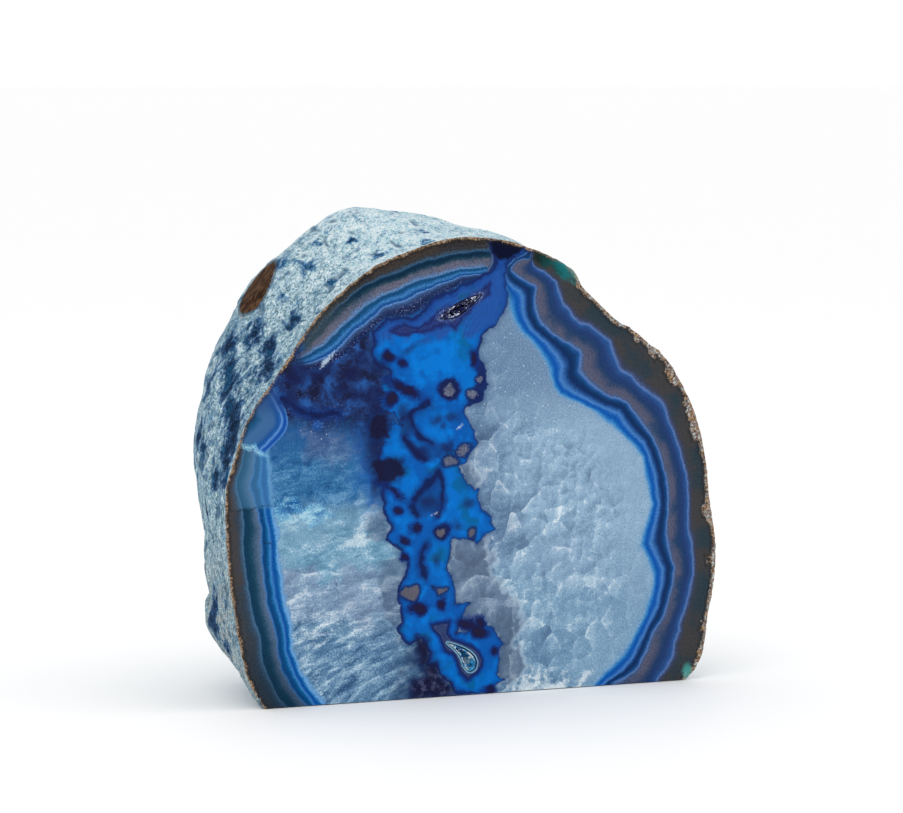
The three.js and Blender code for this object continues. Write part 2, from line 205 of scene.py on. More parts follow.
FAINT_SPOTS = (
    (-10.2, 60.9, 0.9, 0.9, 0), (-8.6, 59.1, 0.6, 0.5, 0), (-6.2, 60.9, 1.2, 0.7, 0),
    (-7.4, 54.8, 1.1, 1.3, 0), (-12, 42.8, 1.7, 1.1, 0), (-1.9, 42.3, 1.2, 0.9, 0),
    (-4.8, 37.3, 1, 0.7, 0), (-10, 29.7, 0.6, 0.9, 0), (2.3, 13.2, 1, 0.8, 0),
    (-15.7, 76.5, 1.5, 0.4, 30), (-17.4, 60.6, 1.6, 3.2, 10), (-14.2, 54, 2.2, 1.2, -35),
    (-23.2, 72.5, 2, 1.3, 0), (-24.5, 66.4, 2, 2.2, 0), (-28, 74.8, 1.5, 1.3, 0),
    (-30.4, 71.2, 1.7, 1.5, 20), (-28.5, 66.3, 1.8, 1.3, 20), (-32.8, 68, 1.6, 1.2, 0),
    (-23.4, 64.2, 1.6, 1.5, 0), (-37.5, 72, 2.6, 1.5, 30), (-43, 71.3, 3, 1.8, 40),
    (-44, 66, 1.5, 1.8, 0), (-24.5, 55.5, 1.4, 2.4, 0), (-24.2, 47, 1, 2.4, 0),
)
DARK_LOOPS = (
    ((-12.2, 64.3), (-15.3, 63), (-15.7, 61), (-14, 57.5), (-11, 55.8)),
    ((-17.5, 57), (-16.5, 55), (-12.5, 52.5)),
    ((-9.2, 49.2), (-12.5, 46), (-15.5, 43.5), (-15.7, 41.5), (-14.5, 40.2)),
    ((-9.2, 49.2), (-8.5, 46), (-8.8, 43), (-9.5, 40.5)),
    ((-12.5, 33.5), (-13.2, 31), (-13.7, 28.5), (-13, 26.5)),
    ((-45.8, 67), (-42.3, 63.8), (-38, 62.9), (-32.8, 62.6)),
)
DARK_BLOCKS = (
    ((-25.6, 62.5), (-22, 62.8), (-21.4, 60.5), (-21.6, 57.6), (-25.6, 57.4)),
    ((-24.6, 52.2), (-21.3, 52.7), (-18.5, 52), (-17.2, 49.7), (-19.5, 47.4), (-21.9, 46.7),
     (-23.6, 47.4), (-24.9, 50)),
    ((-14.6, 13), (-11.8, 12.4), (-11.4, 9.8), (-12.3, 7.2), (-9.8, 6.9), (-9.4, 4.8), (-7, 2.4), (-6, 0),
     (-15.5, 0), (-15, 3.5), (-12.5, 4.6), (-12.6, 7), (-14.2, 9)),
)
DUSKY_AREAS = (
    ((-18.1, 57.3), (-13.8, 55.7), (-11, 55.3), (-8.6, 56.3), (-6.2, 55.9), (-6.2, 54.1), (-8.2, 52),
     (-11.8, 51.7), (-14.2, 53.3), (-17.1, 54.5)),
    ((-8.8, 48.9), (-13.4, 44.7), (-15.3, 43.7), (-15.1, 40.6), (-12.6, 39.8), (-9.8, 40.5), (-8.6, 41.9),
     (-6.6, 42.6), (-7.8, 44.1), (-9.4, 45.6)),
)
MAUVE_QUARTZ = (
    (-41, 58.5), (-36, 59.5), (-30, 58.5), (-27, 55.5), (-28, 52.5), (-33, 52), (-38, 53.5), (-41, 55.5),
)

# Thin bright glints in the quartz, beside the arcs and in the vein, and the violet tongues and the ring
# round the pockets.
GLINTS = (
    ((-40.6, 15.1), (-37, 15.6), (-34, 15.4), (-37, 14.9)),
    ((-37.4, 72.8), (-36.7, 74.5), (-33.4, 76.8), (-35.2, 74.5)),
    ((-5.1, 58.7), (-4.2, 58.8), (-3.4, 59.7), (-4.3, 59.2)),
    ((-11.3, 40), (-9.8, 40.5), (-9.7, 40.2)),
    ((-20.3, 20.1), (-18.8, 20.6), (-18.9, 20.1)),
)
VIOLET_TONGUES = (
    ((-9.5, 84.3), (-7.5, 85.1), (-5.5, 85.3), (-3.5, 86.5), (-2, 87.7), (0, 88.3), (2.7, 89.8),
     (2.7, 87.2), (-0.5, 85.6), (-2.5, 84), (-4, 83), (-5.3, 80.5), (-8, 81.5), (-12.5, 81.2)),
    ((-21, 80.5), (-17, 81.5), (-13.5, 81.5), (-10, 82), (-8, 81.5), (-12.5, 80.2), (-18.5, 79.2)),
)
LOWER_RING = (
    (-11.5, 16.2), (-6.3, 16.8), (-6.8, 13.8), (-6, 12.8), (-4, 12), (-1.5, 11), (0.5, 9.5), (1.5, 7.8),
    (1.5, 5.8), (0.3, 4.5), (-2.5, 2.8), (-4.5, 5), (-5, 7), (-6, 8.8), (-8, 9.7), (-9.3, 13), (-11, 15),
)

# The scar on the rind: a point on its plane, from the drawing's zero, the way it faces, and its oval.
SCAR_POINT = np.array((-43.4, 23, 89.5))
SCAR_FACING = np.array((-0.76, -0.05, 0.65))
SCAR_MIDDLE = np.array((-43.2, 20.8, 89.4))
SCAR_LENGTHWISE = np.array((0.58, 0.22, 0.78))
SCAR_HALF_SIZES = (7.3, 3.9)

# Dye stains on the rind that the front view shows: their middles, from the drawing's zero, and their radii.
RIND_STAINS = (
    (-31.4, 17.9, 99.4, 1.3), (-24.8, 12.3, 99.6, 1.2), (-21.8, 4.8, 96.9, 2), (-9.6, 7.1, 101.4, 1.6),
    (-11.1, 1.8, 99.4, 1.8), (-34.5, 13.1, 93.6, 1.7), (-31.9, 6.2, 91.4, 1.2), (-40.5, 6.9, 83, 2.6),
    (-45.9, 8.1, 77.4, 2.4), (-47.8, 4.5, 72.5, 3), (-47.2, 13.4, 79.9, 2.6), (-51.5, 17.8, 77.2, 2.6),
    (-52.6, 14.7, 73.1, 2.6), (-53.8, 11.6, 69, 2.6), (-54.9, 7.1, 63.9, 3.2), (-55.3, 5.2, 61.1, 3.2),
    (-56.4, 3.4, 57.2, 2.6), (-55.5, 19.4, 68.1, 2), (-59.1, 16.5, 58, 2), (-59.2, 13.8, 54.5, 2.2),
    (-38.5, 19.5, 94.9, 2), (-59.3, 6.1, 49.1, 1.8), (-58.8, 12.1, 42.1, 1.6), (-56.6, 13.2, 21.2, 2.8),
    (-57, 13.9, 16.8, 3), (-55, 9.6, 11.7, 2.4), (-57.3, 4.7, 55.2, 2.4), (-57.8, 2.8, 52.6, 2.2),
    (-58.9, 1.8, 48.6, 1.8), (-30.2, 15.6, 98.8, 1.1), (-35.3, 15.8, 95, 1.2), (-41, 12.4, 87, 1.4),
)

# Stains are taller than wide, fade outwards from their strength, and are strongest between two heights.
STAIN_STRETCH = 1.6
STAIN_FADE = 1.5
STAIN_STRENGTH = 1.8
FLANK_STRENGTH = 2.15
FLANK_HEIGHTS = (40, 80)

# Large and small crystal lumps of the quartz: how many to the millimetre, and how wide their rims are.
# The shift along x chooses which part of the pattern shows.
LUMPS = ((0.2, 0.11), (0.45, 0.14))
LUMP_SHIFT = 31

# Layers of noise that push points sideways and up.
STIR_LAYERS = (0.3, 50.3)

# The mesh, in millimetres: raggedness of the rim, spacing along the front edge, and how far a net's points
# stay from the edges that it joins.
RIM_RAGGEDNESS = 0.22
FRONT_STEP = 0.7
RIM_CLEARANCE = 0.2
MOUTH_CLEARANCE = 0.15
BASE_CLEARANCE = 0.6
SHARP_ANGLE = math.radians(48)

# The point of the face in the middle of the picture.
CAMERA_TARGET = (-6.25, 63.57)

# Numbers stored on the points of the face and the rind, which their finishes read.
FACE_FIELDS = (
    "rim", "side", "right_bands", "left_bands", "upper_arcs", "arc_field", "lens", "lens_border", "crack",
    "vein", "dark_zone", "top_blob", "bright", "smoky", "grey", "white", "cyan", "mauve", "glints",
    "spots", "faint", "loops", "blocks", "dusky", "tongues", "ring", "mouth", "upper_mouth", "fissure",
    "teal_rim", "lump_x", "lump_z",
)
RIND_FIELDS = ("pits", "scar", "stain")


def rgb(red, green, blue):
    """Linear colour of the given display values, each from 0 to 255."""
    return tuple(((c / 255 + 0.055) / 1.055) ** 2.4 if c > 10 else c / 255 / 12.92
                 for c in (red, green, blue))


def rgba(red, green, blue):
    """Linear colour with full cover of the given display values."""
    return rgb(red, green, blue) + (1.0,)


def colour_property(name, description, *display):
    """A colour that a user may change."""
    return FloatVectorProperty(name=name, description=description, subtype="COLOR", size=3, min=0, max=1,
                               default=rgb(*display))


class StoneSizes(bpy.types.PropertyGroup):
    """Sizes of the stone's mesh and of its fine relief."""

    face_step: FloatProperty(name="Face step", default=0.38 * MM, unit="LENGTH",
                             description="Spacing of the face's points where it is patterned")
    base_step: FloatProperty(name="Base step", description="Spacing of the sawn base's points",
                             default=1.3 * MM, unit="LENGTH")
    rind_columns: IntProperty(name="Rind columns", description="Columns of the rind from corner to corner",
                              default=330, min=40)
    rind_rows: IntProperty(name="Rind rows", description="Rows of the rind from the face to the base",
                           default=128, min=20)
    relief: FloatProperty(name="Rind relief", description="Height of the rind's fine roughness",
                          default=0.34 * MM, unit="LENGTH")
    pit_depth: FloatProperty(name="Pit depth", description="Depth of the rind's small pits",
                             default=0.45 * MM, unit="LENGTH")


class StoneColours(bpy.types.PropertyGroup):
    """Colours of the face and the rind."""

    vein: colour_property("Vein", "Bright blue of the vein", 0, 104, 190)
    vein_light: colour_property("Vein light", "Lightest blue of the vein", 0, 117, 206)
    vein_deep: colour_property("Vein deep", "Deeper blue of the vein", 2, 84, 166)
    outline: colour_property("Outline", "Navy edge of the vein", 18, 32, 84)
    grey: colour_property("Grey windows", "Grey quartz in the vein", 92, 86, 88)
    dark_zone: colour_property("Dark zone", "Dark blue of the upper left", 26, 40, 82)
    rind: colour_property("Rind", "Pale skin of the rind", 198, 217, 224)
    rind_shade: colour_property("Rind shade", "Middle tone of the rind", 164, 192, 203)
    stain_teal: colour_property("Teal stain", "Dye in the rind's hollows", 56, 120, 158)
    stain_navy: colour_property("Navy stain", "Darkest dye on the rind", 20, 40, 80)
    crust: colour_property("Crust", "Tan line at the rim of the face", 172, 130, 90)
    scar: colour_property("Scar", "Brown chip on the rind", 50, 34, 26)


class StageSettings(bpy.types.PropertyGroup):
    """Camera and floor."""

    camera_turn: FloatProperty(name="Camera turn", default=math.radians(25), subtype="ANGLE",
                               description="How far to the left of the face the camera stands")
    camera_rise: FloatProperty(name="Camera rise", description="How far the camera looks down",
                               default=math.radians(4.55), subtype="ANGLE")
    camera_reach: FloatProperty(name="Camera reach", description="Distance from the camera to the face",
                                default=0.9, unit="LENGTH")
    lens: FloatProperty(name="Lens", description="Focal length in millimetres", default=164.6)
    floor: colour_property("Floor", "Pale studio floor", 253, 253, 253)


class Link:
    """An output of a material's nodes. Sums and products of values add Math nodes."""

    def __init__(self, finish, socket):
        self.finish = finish
        self.socket = socket

    def math(self, operation, first, second):
        return self.finish.node("ShaderNodeMath", {"operation": operation}, {0: first, 1: second})

    def __add__(self, other):
        return self.math("ADD", self, other)

    __radd__ = __add__

    def __sub__(self, other):
        return self.math("SUBTRACT", self, other)

    def __rsub__(self, other):
        return self.math("SUBTRACT", other, self)

    def __mul__(self, other):
        return self.math("MULTIPLY", self, other)

    __rmul__ = __mul__

    def __truediv__(self, other):
        return self.math("DIVIDE", self, other)

    def most(self, other):
        return self.math("MAXIMUM", self, other)


class Finish:
    """A material under way: nodes are added to it one at a time."""

    def __init__(self, name, flat=False):
        self.material = bpy.data.materials.new(name)
        self.material.use_nodes = True
        self.tree = self.material.node_tree
        self.shader = self.tree.nodes["Principled BSDF"]
        here = self.node("ShaderNodeTexCoord", {}, {}, "Object")
        self.place = self.vector("SCALE", {0: here, "Scale": 1 / MM})
        self.across = self.node("ShaderNodeSeparateXYZ", {}, {0: self.place}, "X")
        self.height = self.node("ShaderNodeSeparateXYZ", {}, {0: self.place}, "Z")
        self.extent = "3D"
        if flat:
            self.place = self.node("ShaderNodeCombineXYZ", {}, {"X": self.across, "Y": self.height})
            self.extent = "2D"

    def node(self, kind, settings, sockets, output=0):
        """Add a node: its settings first, then its sockets' values or links. Gives one of its outputs."""
        node = self.tree.nodes.new(kind)
        for name, value in settings.items():
            if name == "stops":
                self.set_stops(node.color_ramp, value)
            else:
                setattr(node, name, value)
        for name, value in sockets.items():
            self.plug(node.inputs[name], value)
        return Link(self, node.outputs[output])

    def plug(self, socket, value):
        """Set a socket's value, or link it."""
        if isinstance(value, Link):
            self.tree.links.new(value.socket, socket)
        else:
            socket.default_value = value

    def vector(self, operation, sockets, output=0):
        """A sum, difference, product or scaling of vectors."""
        return self.node("ShaderNodeVectorMath", {"operation": operation}, sockets, output)

    @staticmethod
    def set_stops(ramp, stops):
        """Place a ramp's stops."""
        while len(ramp.elements) < len(stops):
            ramp.elements.new(1)
        for element, (position, colour) in zip(ramp.elements, stops):
            element.position = position
            element.color = colour

    def field(self, name):
        """A number stored on the mesh's points."""
        return self.node("ShaderNodeAttribute", {"attribute_name": name}, {}, "Fac")

    def stretched(self, scale, turn=0.0):
        """The place on the stone, stretched and turned about the way the face looks."""
        return self.node("ShaderNodeMapping", {"vector_type": "TEXTURE"},
                         {"Vector": self.place, "Rotation": (0, turn, 0), "Scale": scale})

    def noise(self, scale, detail=3.0, at=None, roughness=0.55):
        """Cloudy noise from about 0.2 to 0.8, with the given number of waves to the millimetre."""
        return self.node("ShaderNodeTexNoise", {"noise_dimensions": self.extent}, {
            "Vector": at or self.place, "Scale": scale, "Detail": detail, "Roughness": roughness}, "Fac")

    def cells(self, scale, feature="F1", output="Distance", at=None):
        """Cells with the given number to the millimetre."""
        return self.node("ShaderNodeTexVoronoi", {"feature": feature, "voronoi_dimensions": self.extent}, {
            "Vector": at or self.place, "Scale": scale}, output)

    def warped(self, at, scale, amount):
        """A place pushed about by noise, so that cells and streaks lose their regular edges."""
        push = self.node("ShaderNodeTexNoise", {"noise_dimensions": self.extent},
                         {"Vector": at, "Scale": scale, "Detail": 2.0}, "Color")
        centred = self.vector("SUBTRACT", {0: push, 1: (0.5, 0.5, 0.5)})
        return self.vector("ADD", {0: at, 1: self.vector("SCALE", {0: centred, "Scale": amount})})

    def lumps(self, at, scale):
        """Domes on the face, lit on the upper left and shaded on the lower right, about -0.5 to 0.5."""
        reach = 0.18 / scale
        heights = []
        for way in (-reach, reach):
            heights.append(self.cells(scale, at=self.vector("ADD", {0: at, 1: (way, -way, 0)})))
        lit, shaded = heights
        return (lit - shaded) * (lit + shaded) * 1.5 + (lit + shaded) * 0.12 - 0.11

    def facets(self, at, scale):
        """Crystal lumps, each with a tone of its own and a painted shade that mostly darkens it to the
        lower right, from about -0.5 to 0.5.
        """
        own = self.cells(scale, output="Color", at=at)
        middle = self.cells(scale, output="Position", at=at)
        # Painted shade across each cell: its slope leans at random, but on the whole the cell is lighter on
        # the upper left.
        away = self.vector("SUBTRACT", {0: at, 1: middle})
        lean = self.vector("SUBTRACT", {0: own, 1: (0.7, 0.2, 0.5)})
        fade = self.vector("DOT_PRODUCT", {0: away, 1: lean}, "Value")
        tone = self.node("ShaderNodeSeparateColor", {}, {0: own}, "Blue")
        return fade * scale * 1.2 + (tone - 0.5) * 0.5

    def wavy(self, value):
        """A sine of a value."""
        return self.node("ShaderNodeMath", {"operation": "SINE"}, {0: value})

    def grade(self, value, low, high):
        """A smooth step: 0 up to low, 1 from high on."""
        return self.node("ShaderNodeMapRange", {"interpolation_type": "SMOOTHSTEP"}, {
            "Value": value, "From Min": low, "From Max": high, "To Min": 0.0, "To Max": 1.0})

    def ramp(self, value, stops):
        """A colour from a row of stops."""
        return self.node("ShaderNodeValToRGB", {"stops": stops}, {0: value}, "Color")

    def shades(self, value, *rows, reach=None):
        """A colour from rows of a value and the display colour there, for values from 0 to reach or 1."""
        if reach:
            value = value / reach
        return self.ramp(value, [(row[0] / (reach or 1), rgba(*row[1:])) for row in rows])

    def mix(self, factor, first, second, blend="MIX"):
        """One colour over another."""
        return self.node("ShaderNodeMix", {"data_type": "RGBA", "blend_type": blend},
                         {0: factor, 6: first, 7: second}, 2)

    def bump(self, height, distance, strength=1.0):
        """Fine relief, with its height in millimetres."""
        sockets = {"Height": height, "Distance": distance * MM, "Strength": strength}
        return self.node("ShaderNodeBump", {}, sockets, "Normal")


def cover(colour):
    """A property's colour with full cover."""
    return tuple(colour) + (1.0,)


def rounded(line, times=1):
    """A line with its corners cut, which keeps its ends."""
    line = np.asarray(line, float)
    for _ in range(times):
        near = 0.75 * line[:-1] + 0.25 * line[1:]
        far = 0.25 * line[:-1] + 0.75 * line[1:]
        line = np.vstack([line[:1], np.stack([near, far], 1).reshape(-1, 2), line[-1:]])
    return line


def closed(line):
    """An outline that ends where it starts."""
    line = np.asarray(line, float)
    return np.vstack([line, line[:1]])


def distance_to(points, line):
    """Distance of each point from a line."""
    least = np.full(len(points), np.inf)
    for start, run in zip(line[:-1], np.diff(line, axis=0)):
        length = run @ run
        if length > 0:
            along = np.clip((points - start) @ run / length, 0, 1)
            gap = points - start - along[:, None] * run
            least = np.minimum(least, np.hypot(gap[:, 0], gap[:, 1]))
    return least


def is_inside(points, outline):
    """Whether each point lies in a closed outline."""
    inside = np.zeros(len(points), bool)
    x, z = points.T
    for (ax, az), (bx, bz) in zip(outline[:-1], outline[1:]):
        if az != bz:
            crosses = (az > z) != (bz > z)
            inside ^= crosses & (x < ax + (z - az) * (bx - ax) / (bz - az))
    return inside


def depth_in(points, outline):
    """Depth of each point in an outline, negative outside."""
    edge = closed(outline)
    return np.where(is_inside(points, edge), 1, -1) * distance_to(points, edge)


def depth_in_spots(points, spots):
    """Depth of each point in the nearest of some oval spots, negative outside."""
    deepest = np.full(len(points), -np.inf)
    for x, z, half_width, half_height, turn in spots:
        c, s = math.cos(math.radians(turn)), math.sin(math.radians(turn))
        gap = points - (x, z)
        across = (gap[:, 0] * c + gap[:, 1] * s) / half_width
        up = (gap[:, 1] * c - gap[:, 0] * s) / half_height
        deepest = np.maximum(deepest, (1 - np.hypot(across, up)) * min(half_width, half_height))
    return deepest


def band_number(points, rim_distance, bands, inner_side):
    """Number of each point among bands: 0 at the rim, 1 on the first line and so on, 1 more each 10 mm."""
    lines = [np.asarray(band, float) for band in bands]
    gaps = [rim_distance] + [distance_to(points, line) for line in lines]
    inner = [closed(np.vstack([line, np.asarray(inner_side, float)])) for line in lines]
    within = [np.ones(len(points), bool)] + [is_inside(points, outline) for outline in inner]
    number = np.zeros(len(points))
    for k in range(len(bands)):
        here = within[k]
        number[here] = k + (gaps[k] / (gaps[k] + gaps[k + 1] + 1e-9))[here]
    last = len(bands)
    number[within[last]] = last + gaps[last][within[last]] / 10
    return number


def stirred(points, waves, reach, layer):
    """Points pushed about by smooth noise, so that drawn shapes get natural edges."""
    push = [[noise.noise(Vector((x * waves, z * waves, layer + step))) for step in STIR_LAYERS]
            for x, z in points]
    return points + reach * np.array(push)


def deepest_in(points, outlines):
    """Depth of each point in the nearest of some outlines, negative outside."""
    return np.max([depth_in(points, outline) for outline in outlines], axis=0)


def face_fields(points, rim, mouths):
    """Numbers that the face's finish reads, at points of the face, in millimetres."""
    calm = stirred(stirred(points, 0.45, 0.2, 3), 1.3, 0.13, 5)
    lively = stirred(stirred(points, 0.26, 0.8, 11), 0.9, 0.35, 17)
    rim_distance = distance_to(points, rim)
    middle = np.vstack([rounded(VEIN_MIDDLE), ((90, -3), (90, 104))])
    side = np.where(is_inside(points, closed(middle)), 1, -1) * distance_to(points, rounded(VEIN_MIDDLE))
    grey = np.maximum(depth_in_spots(lively, GREY_SPOTS), deepest_in(lively, GREY_WINDOWS))
    loops = np.min([distance_to(lively, rounded(loop)) for loop in DARK_LOOPS], axis=0)
    slope = 0.5 * np.exp(-(points[:, 1] / 15) ** 2) + 0.05
    fissure = np.min([distance_to(lively, np.asarray(line, float)) for line in FISSURES], axis=0)
    values = {
        "rim": rim_distance, "side": side,
        "right_bands": band_number(calm, rim_distance, RIGHT_BANDS, RIGHT_SIDE),
        "left_bands": band_number(calm, rim_distance, LEFT_BANDS, LEFT_SIDE),
        "upper_arcs": band_number(calm, rim_distance, UPPER_ARCS, ARC_SIDE),
        "arc_field": depth_in(calm, ARC_FIELD), "lens": depth_in(calm, LENS),
        "lens_border": distance_to(calm, rounded(LENS_BORDER)),
        "crack": distance_to(lively, np.asarray(CRACK, float)), "vein": depth_in(lively, VEIN),
        "dark_zone": depth_in(lively, DARK_ZONE), "top_blob": depth_in(calm, TOP_BLOB),
        "bright": depth_in(lively, BRIGHT_PATCH), "smoky": deepest_in(lively, SMOKY_QUARTZ), "grey": grey,
        "white": deepest_in(lively, WHITE_QUARTZ), "cyan": depth_in(lively, CYAN_QUARTZ),
        "mauve": depth_in(lively, MAUVE_QUARTZ), "glints": deepest_in(calm, GLINTS),
        "spots": depth_in_spots(lively, DARK_SPOTS), "faint": depth_in_spots(lively, FAINT_SPOTS),
        "loops": loops, "blocks": deepest_in(lively, DARK_BLOCKS), "dusky": deepest_in(lively, DUSKY_AREAS),
        "tongues": deepest_in(lively, VIOLET_TONGUES), "ring": depth_in(calm, LOWER_RING),
        "mouth": distance_to(points, closed(min(mouths, key=lambda loop: loop[:, 1].mean()))),
        "upper_mouth": distance_to(points, closed(max(mouths, key=lambda loop: loop[:, 1].mean()))),
        "fissure": fissure, "teal_rim": depth_in_spots(lively, TEAL_RIM),
        "lump_x": points[:, 0] * np.where(side > 0, 1, 0.5),
        "lump_z": points[:, 1] - np.where(side > 0, 0, slope * (points[:, 0] + 45)),
    }
    return np.stack([values[name] for name in FACE_FIELDS], 1)


class Solid:
    """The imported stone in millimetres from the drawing's zero, sorted into its surfaces."""

    def __init__(self):
        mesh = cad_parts["geode_half"].data
        mesh.calc_loop_triangles()
        corners = np.empty(len(mesh.vertices) * 3)
        mesh.vertices.foreach_get("co", corners)
        triangles = np.empty(len(mesh.loop_triangles) * 3, int)
        mesh.loop_triangles.foreach_get("vertices", triangles)
        corners, same = np.unique(np.round(corners.reshape(-1, 3) / MM, 3), axis=0, return_inverse=True)
        self.triangles = same.ravel()[triangles.reshape(-1, 3)]
        face_y = corners[:, 1].min()
        on_face = corners[:, 1] < face_y + 0.01
        self.shift = np.array((corners[on_face, 0].min() - FACE_LEFT_END, face_y, 0))
        self.corners = corners - self.shift
        near = self.corners[self.triangles]
        middle = near.mean(1)
        face = (near[:, :, 1] < 0.01).all(1)
        base = (near[:, :, 2] < 0.01).all(1)
        pocket = np.zeros(len(near), bool)
        for name in ("upper_pocket_crystals", "lower_pocket_crystals"):
            low, high = (np.array(corner) / MM - self.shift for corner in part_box(name))
            pocket |= ((middle > low - 1.5) & (middle < high + 1.5)).all(1)
        self.pocket = self.triangles[pocket & ~face]
        self.rind = self.triangles[~(face | base | pocket)]
        self.face_loops = self.loops(self.triangles[face])
        self.base_loops = self.loops(self.triangles[base])

    def loops(self, triangles):
        """Edges of a surface, chained into loops of corners, the longest first."""
        edges = np.vstack([triangles[:, [0, 1]], triangles[:, [1, 2]], triangles[:, [2, 0]]])
        edges = {tuple(edge) for edge in edges.tolist()}
        after = {a: b for a, b in edges if (b, a) not in edges}
        loops = []
        while after:
            start, corner = after.popitem()
            loop = [start]
            while corner != start:
                loop.append(corner)
                corner = after.pop(corner)
            loops.append(self.corners[loop])
        return sorted(loops, key=len, reverse=True)


def reach_in_plane(outline, angles):
    """Distance from zero to a flat outline, at each angle."""
    ways = np.stack([np.cos(angles), np.sin(angles)], 1)
    reach = np.zeros(len(angles))
    for a, b in zip(outline, np.roll(outline, -1, axis=0)):
        run = b - a
        cross = ways[:, 0] * run[1] - ways[:, 1] * run[0]
        safe = np.where(np.abs(cross) < 1e-9, np.nan, cross)
        out = (a[0] * run[1] - a[1] * run[0]) / safe
        along = (a[0] * ways[:, 1] - a[1] * ways[:, 0]) / safe
        hit = (along > -1e-6) & (along < 1 + 1e-6) & (out > 0)
        reach = np.where(hit, np.fmax(reach, out), reach)
    return reach


def rind_grid(solid, sizes):
    """Points of the rind from corner to corner and from face to base, with pit, scar and stain marks."""
    across = np.linspace(0, math.pi, sizes.rind_columns + 1)
    turns = np.linspace(0, math.pi / 2, sizes.rind_rows + 1)
    tree = BVHTree.FromPolygons([Vector(c) for c in solid.corners], solid.rind.tolist())
    grid = np.zeros((len(across), len(turns), 3))
    rim_reach = reach_in_plane(solid.face_loops[0][:, [0, 2]], across)
    base_reach = reach_in_plane(solid.base_loops[0][:, [0, 1]], across)
    for i, angle in enumerate(across):
        spot = Vector((rim_reach[i] * math.cos(angle), 0, rim_reach[i] * math.sin(angle)))
        ragged = RIM_RAGGEDNESS * noise.fractal(spot * 0.8, 1.0, 2.0, 2)
        rim_reach[i] += ragged * min(1, min(i, len(across) - 1 - i) / 6)
        rise = math.sin(angle)
        for j, turn in enumerate(turns):
            way = Vector((math.cos(angle), rise * math.sin(turn), rise * math.cos(turn)))
            if j == 0 or i in (0, len(across) - 1):
                reach = rim_reach[i]
            elif j == len(turns) - 1:
                reach = base_reach[i]
            else:
                hit = tree.ray_cast(way * 1.0, way)
                if hit[0] is None:
                    raise RuntimeError("the rind has no skin in one direction")
                reach = hit[0].length
            grid[i, j] = way * reach
    scar_height = (grid - SCAR_POINT) @ (SCAR_FACING / np.linalg.norm(SCAR_FACING))
    scar = (np.abs(scar_height) < 0.06).astype(float)
    for _ in range(5):
        inner = grid[1:-1, 1:-1]
        around = grid[:-2, 1:-1] + grid[2:, 1:-1] + grid[1:-1, :-2] + grid[1:-1, 2:]
        grid[1:-1, 1:-1] = 0.5 * inner + 0.125 * around
    return roughened(grid, scar, sizes)


def roughened(grid, scar, sizes):
    """The rind with its fine relief, pits and flat scar."""
    along = np.gradient(grid, axis=0)
    down = np.gradient(grid, axis=1)
    normal = np.cross(down, along)
    normal /= np.linalg.norm(normal, axis=2, keepdims=True) + 1e-9
    facing = SCAR_FACING / np.linalg.norm(SCAR_FACING)
    pits = np.zeros(grid.shape[:2])
    columns, rows = grid.shape[:2]
    for i in range(1, columns - 1):
        for j in range(1, rows - 1):
            spot = Vector(grid[i, j])
            fade = min(1, j / 2.5, (rows - 1 - j) / 2.5, min(i, columns - 1 - i) / 4)
            long = Vector((spot.x * 0.36, spot.y * 0.36, spot.z * 0.2))
            height = 0.62 * noise.fractal(long, 0.9, 2.1, 5) + 0.5 * noise.noise(spot * 0.12)
            hollow = noise.fractal(long * 0.9 + Vector((31, 7, 3)), 0.8, 2.2, 4)
            pits[i, j] = max(0, min(1, (hollow - 0.28) * 4))
            push = (sizes.relief * height - sizes.pit_depth * pits[i, j]) / MM
            grid[i, j] += normal[i, j] * push * fade
    over = (grid - SCAR_POINT) @ facing
    lift = np.where(scar > 0.5, over, np.maximum(over, 0))
    grid = grid - lift[:, :, None] * facing
    sideways = np.cross(facing, SCAR_LENGTHWISE)
    ring = 1 - np.hypot((grid - SCAR_MIDDLE) @ SCAR_LENGTHWISE / SCAR_HALF_SIZES[0],
                        (grid - SCAR_MIDDLE) @ sideways / SCAR_HALF_SIZES[1])
    ring[np.abs((grid - SCAR_POINT) @ facing) > 1.5] = -3
    clusters = np.array([[noise.noise(Vector(spot) * 0.07) for spot in column] for column in grid])
    stain = np.where((grid[:, :, 0] > 30) | (grid[:, :, 1] > 30), np.clip(clusters * 2, 0, 0.7), 0)
    x, y, z = np.moveaxis(grid, 2, 0)
    flank = np.clip((-43 - x) / 6, 0, 1) * np.clip((32 - y) / 8, 0, 1)
    stain = np.maximum(stain, 0.35 * flank * np.clip((z - 38) / 12, 0.2, 1) * np.clip((88 - z) / 6, 0, 1))
    for x, y, z, radius in RIND_STAINS:
        gap = (grid - (x, y, z)) / (radius, radius, radius * STAIN_STRETCH)
        strength = FLANK_STRENGTH if FLANK_HEIGHTS[0] < z < FLANK_HEIGHTS[1] else STAIN_STRENGTH
        stain = np.maximum(stain, strength - STAIN_FADE * np.linalg.norm(gap, axis=2))
    return grid, np.stack([pits, np.maximum(ring, -3), stain], 2)


def flat_fill(boundary_loops, inner_points):
    """Points, triangles and source of each point, over a flat outline with holes and given inner points."""
    points, edges = [], []
    for loop in boundary_loops:
        first = len(points)
        points += [Vector(p) for p in loop]
        edges += [(first + k, first + (k + 1) % len(loop)) for k in range(len(loop))]
    points += [Vector(p) for p in inner_points]
    filled = delaunay_2d_cdt(points, edges, [], 0, 1e-6)
    spots = np.array([tuple(p) for p in filled[0]])
    triangles = np.array([f for f in filled[2]], int)
    middle = spots[triangles].mean(1)
    keep = is_inside(middle, closed(boundary_loops[0]))
    for hole in boundary_loops[1:]:
        keep &= ~is_inside(middle, closed(hole))
    source = [origins[0] for origins in filled[3]]
    return spots, triangles[keep], source


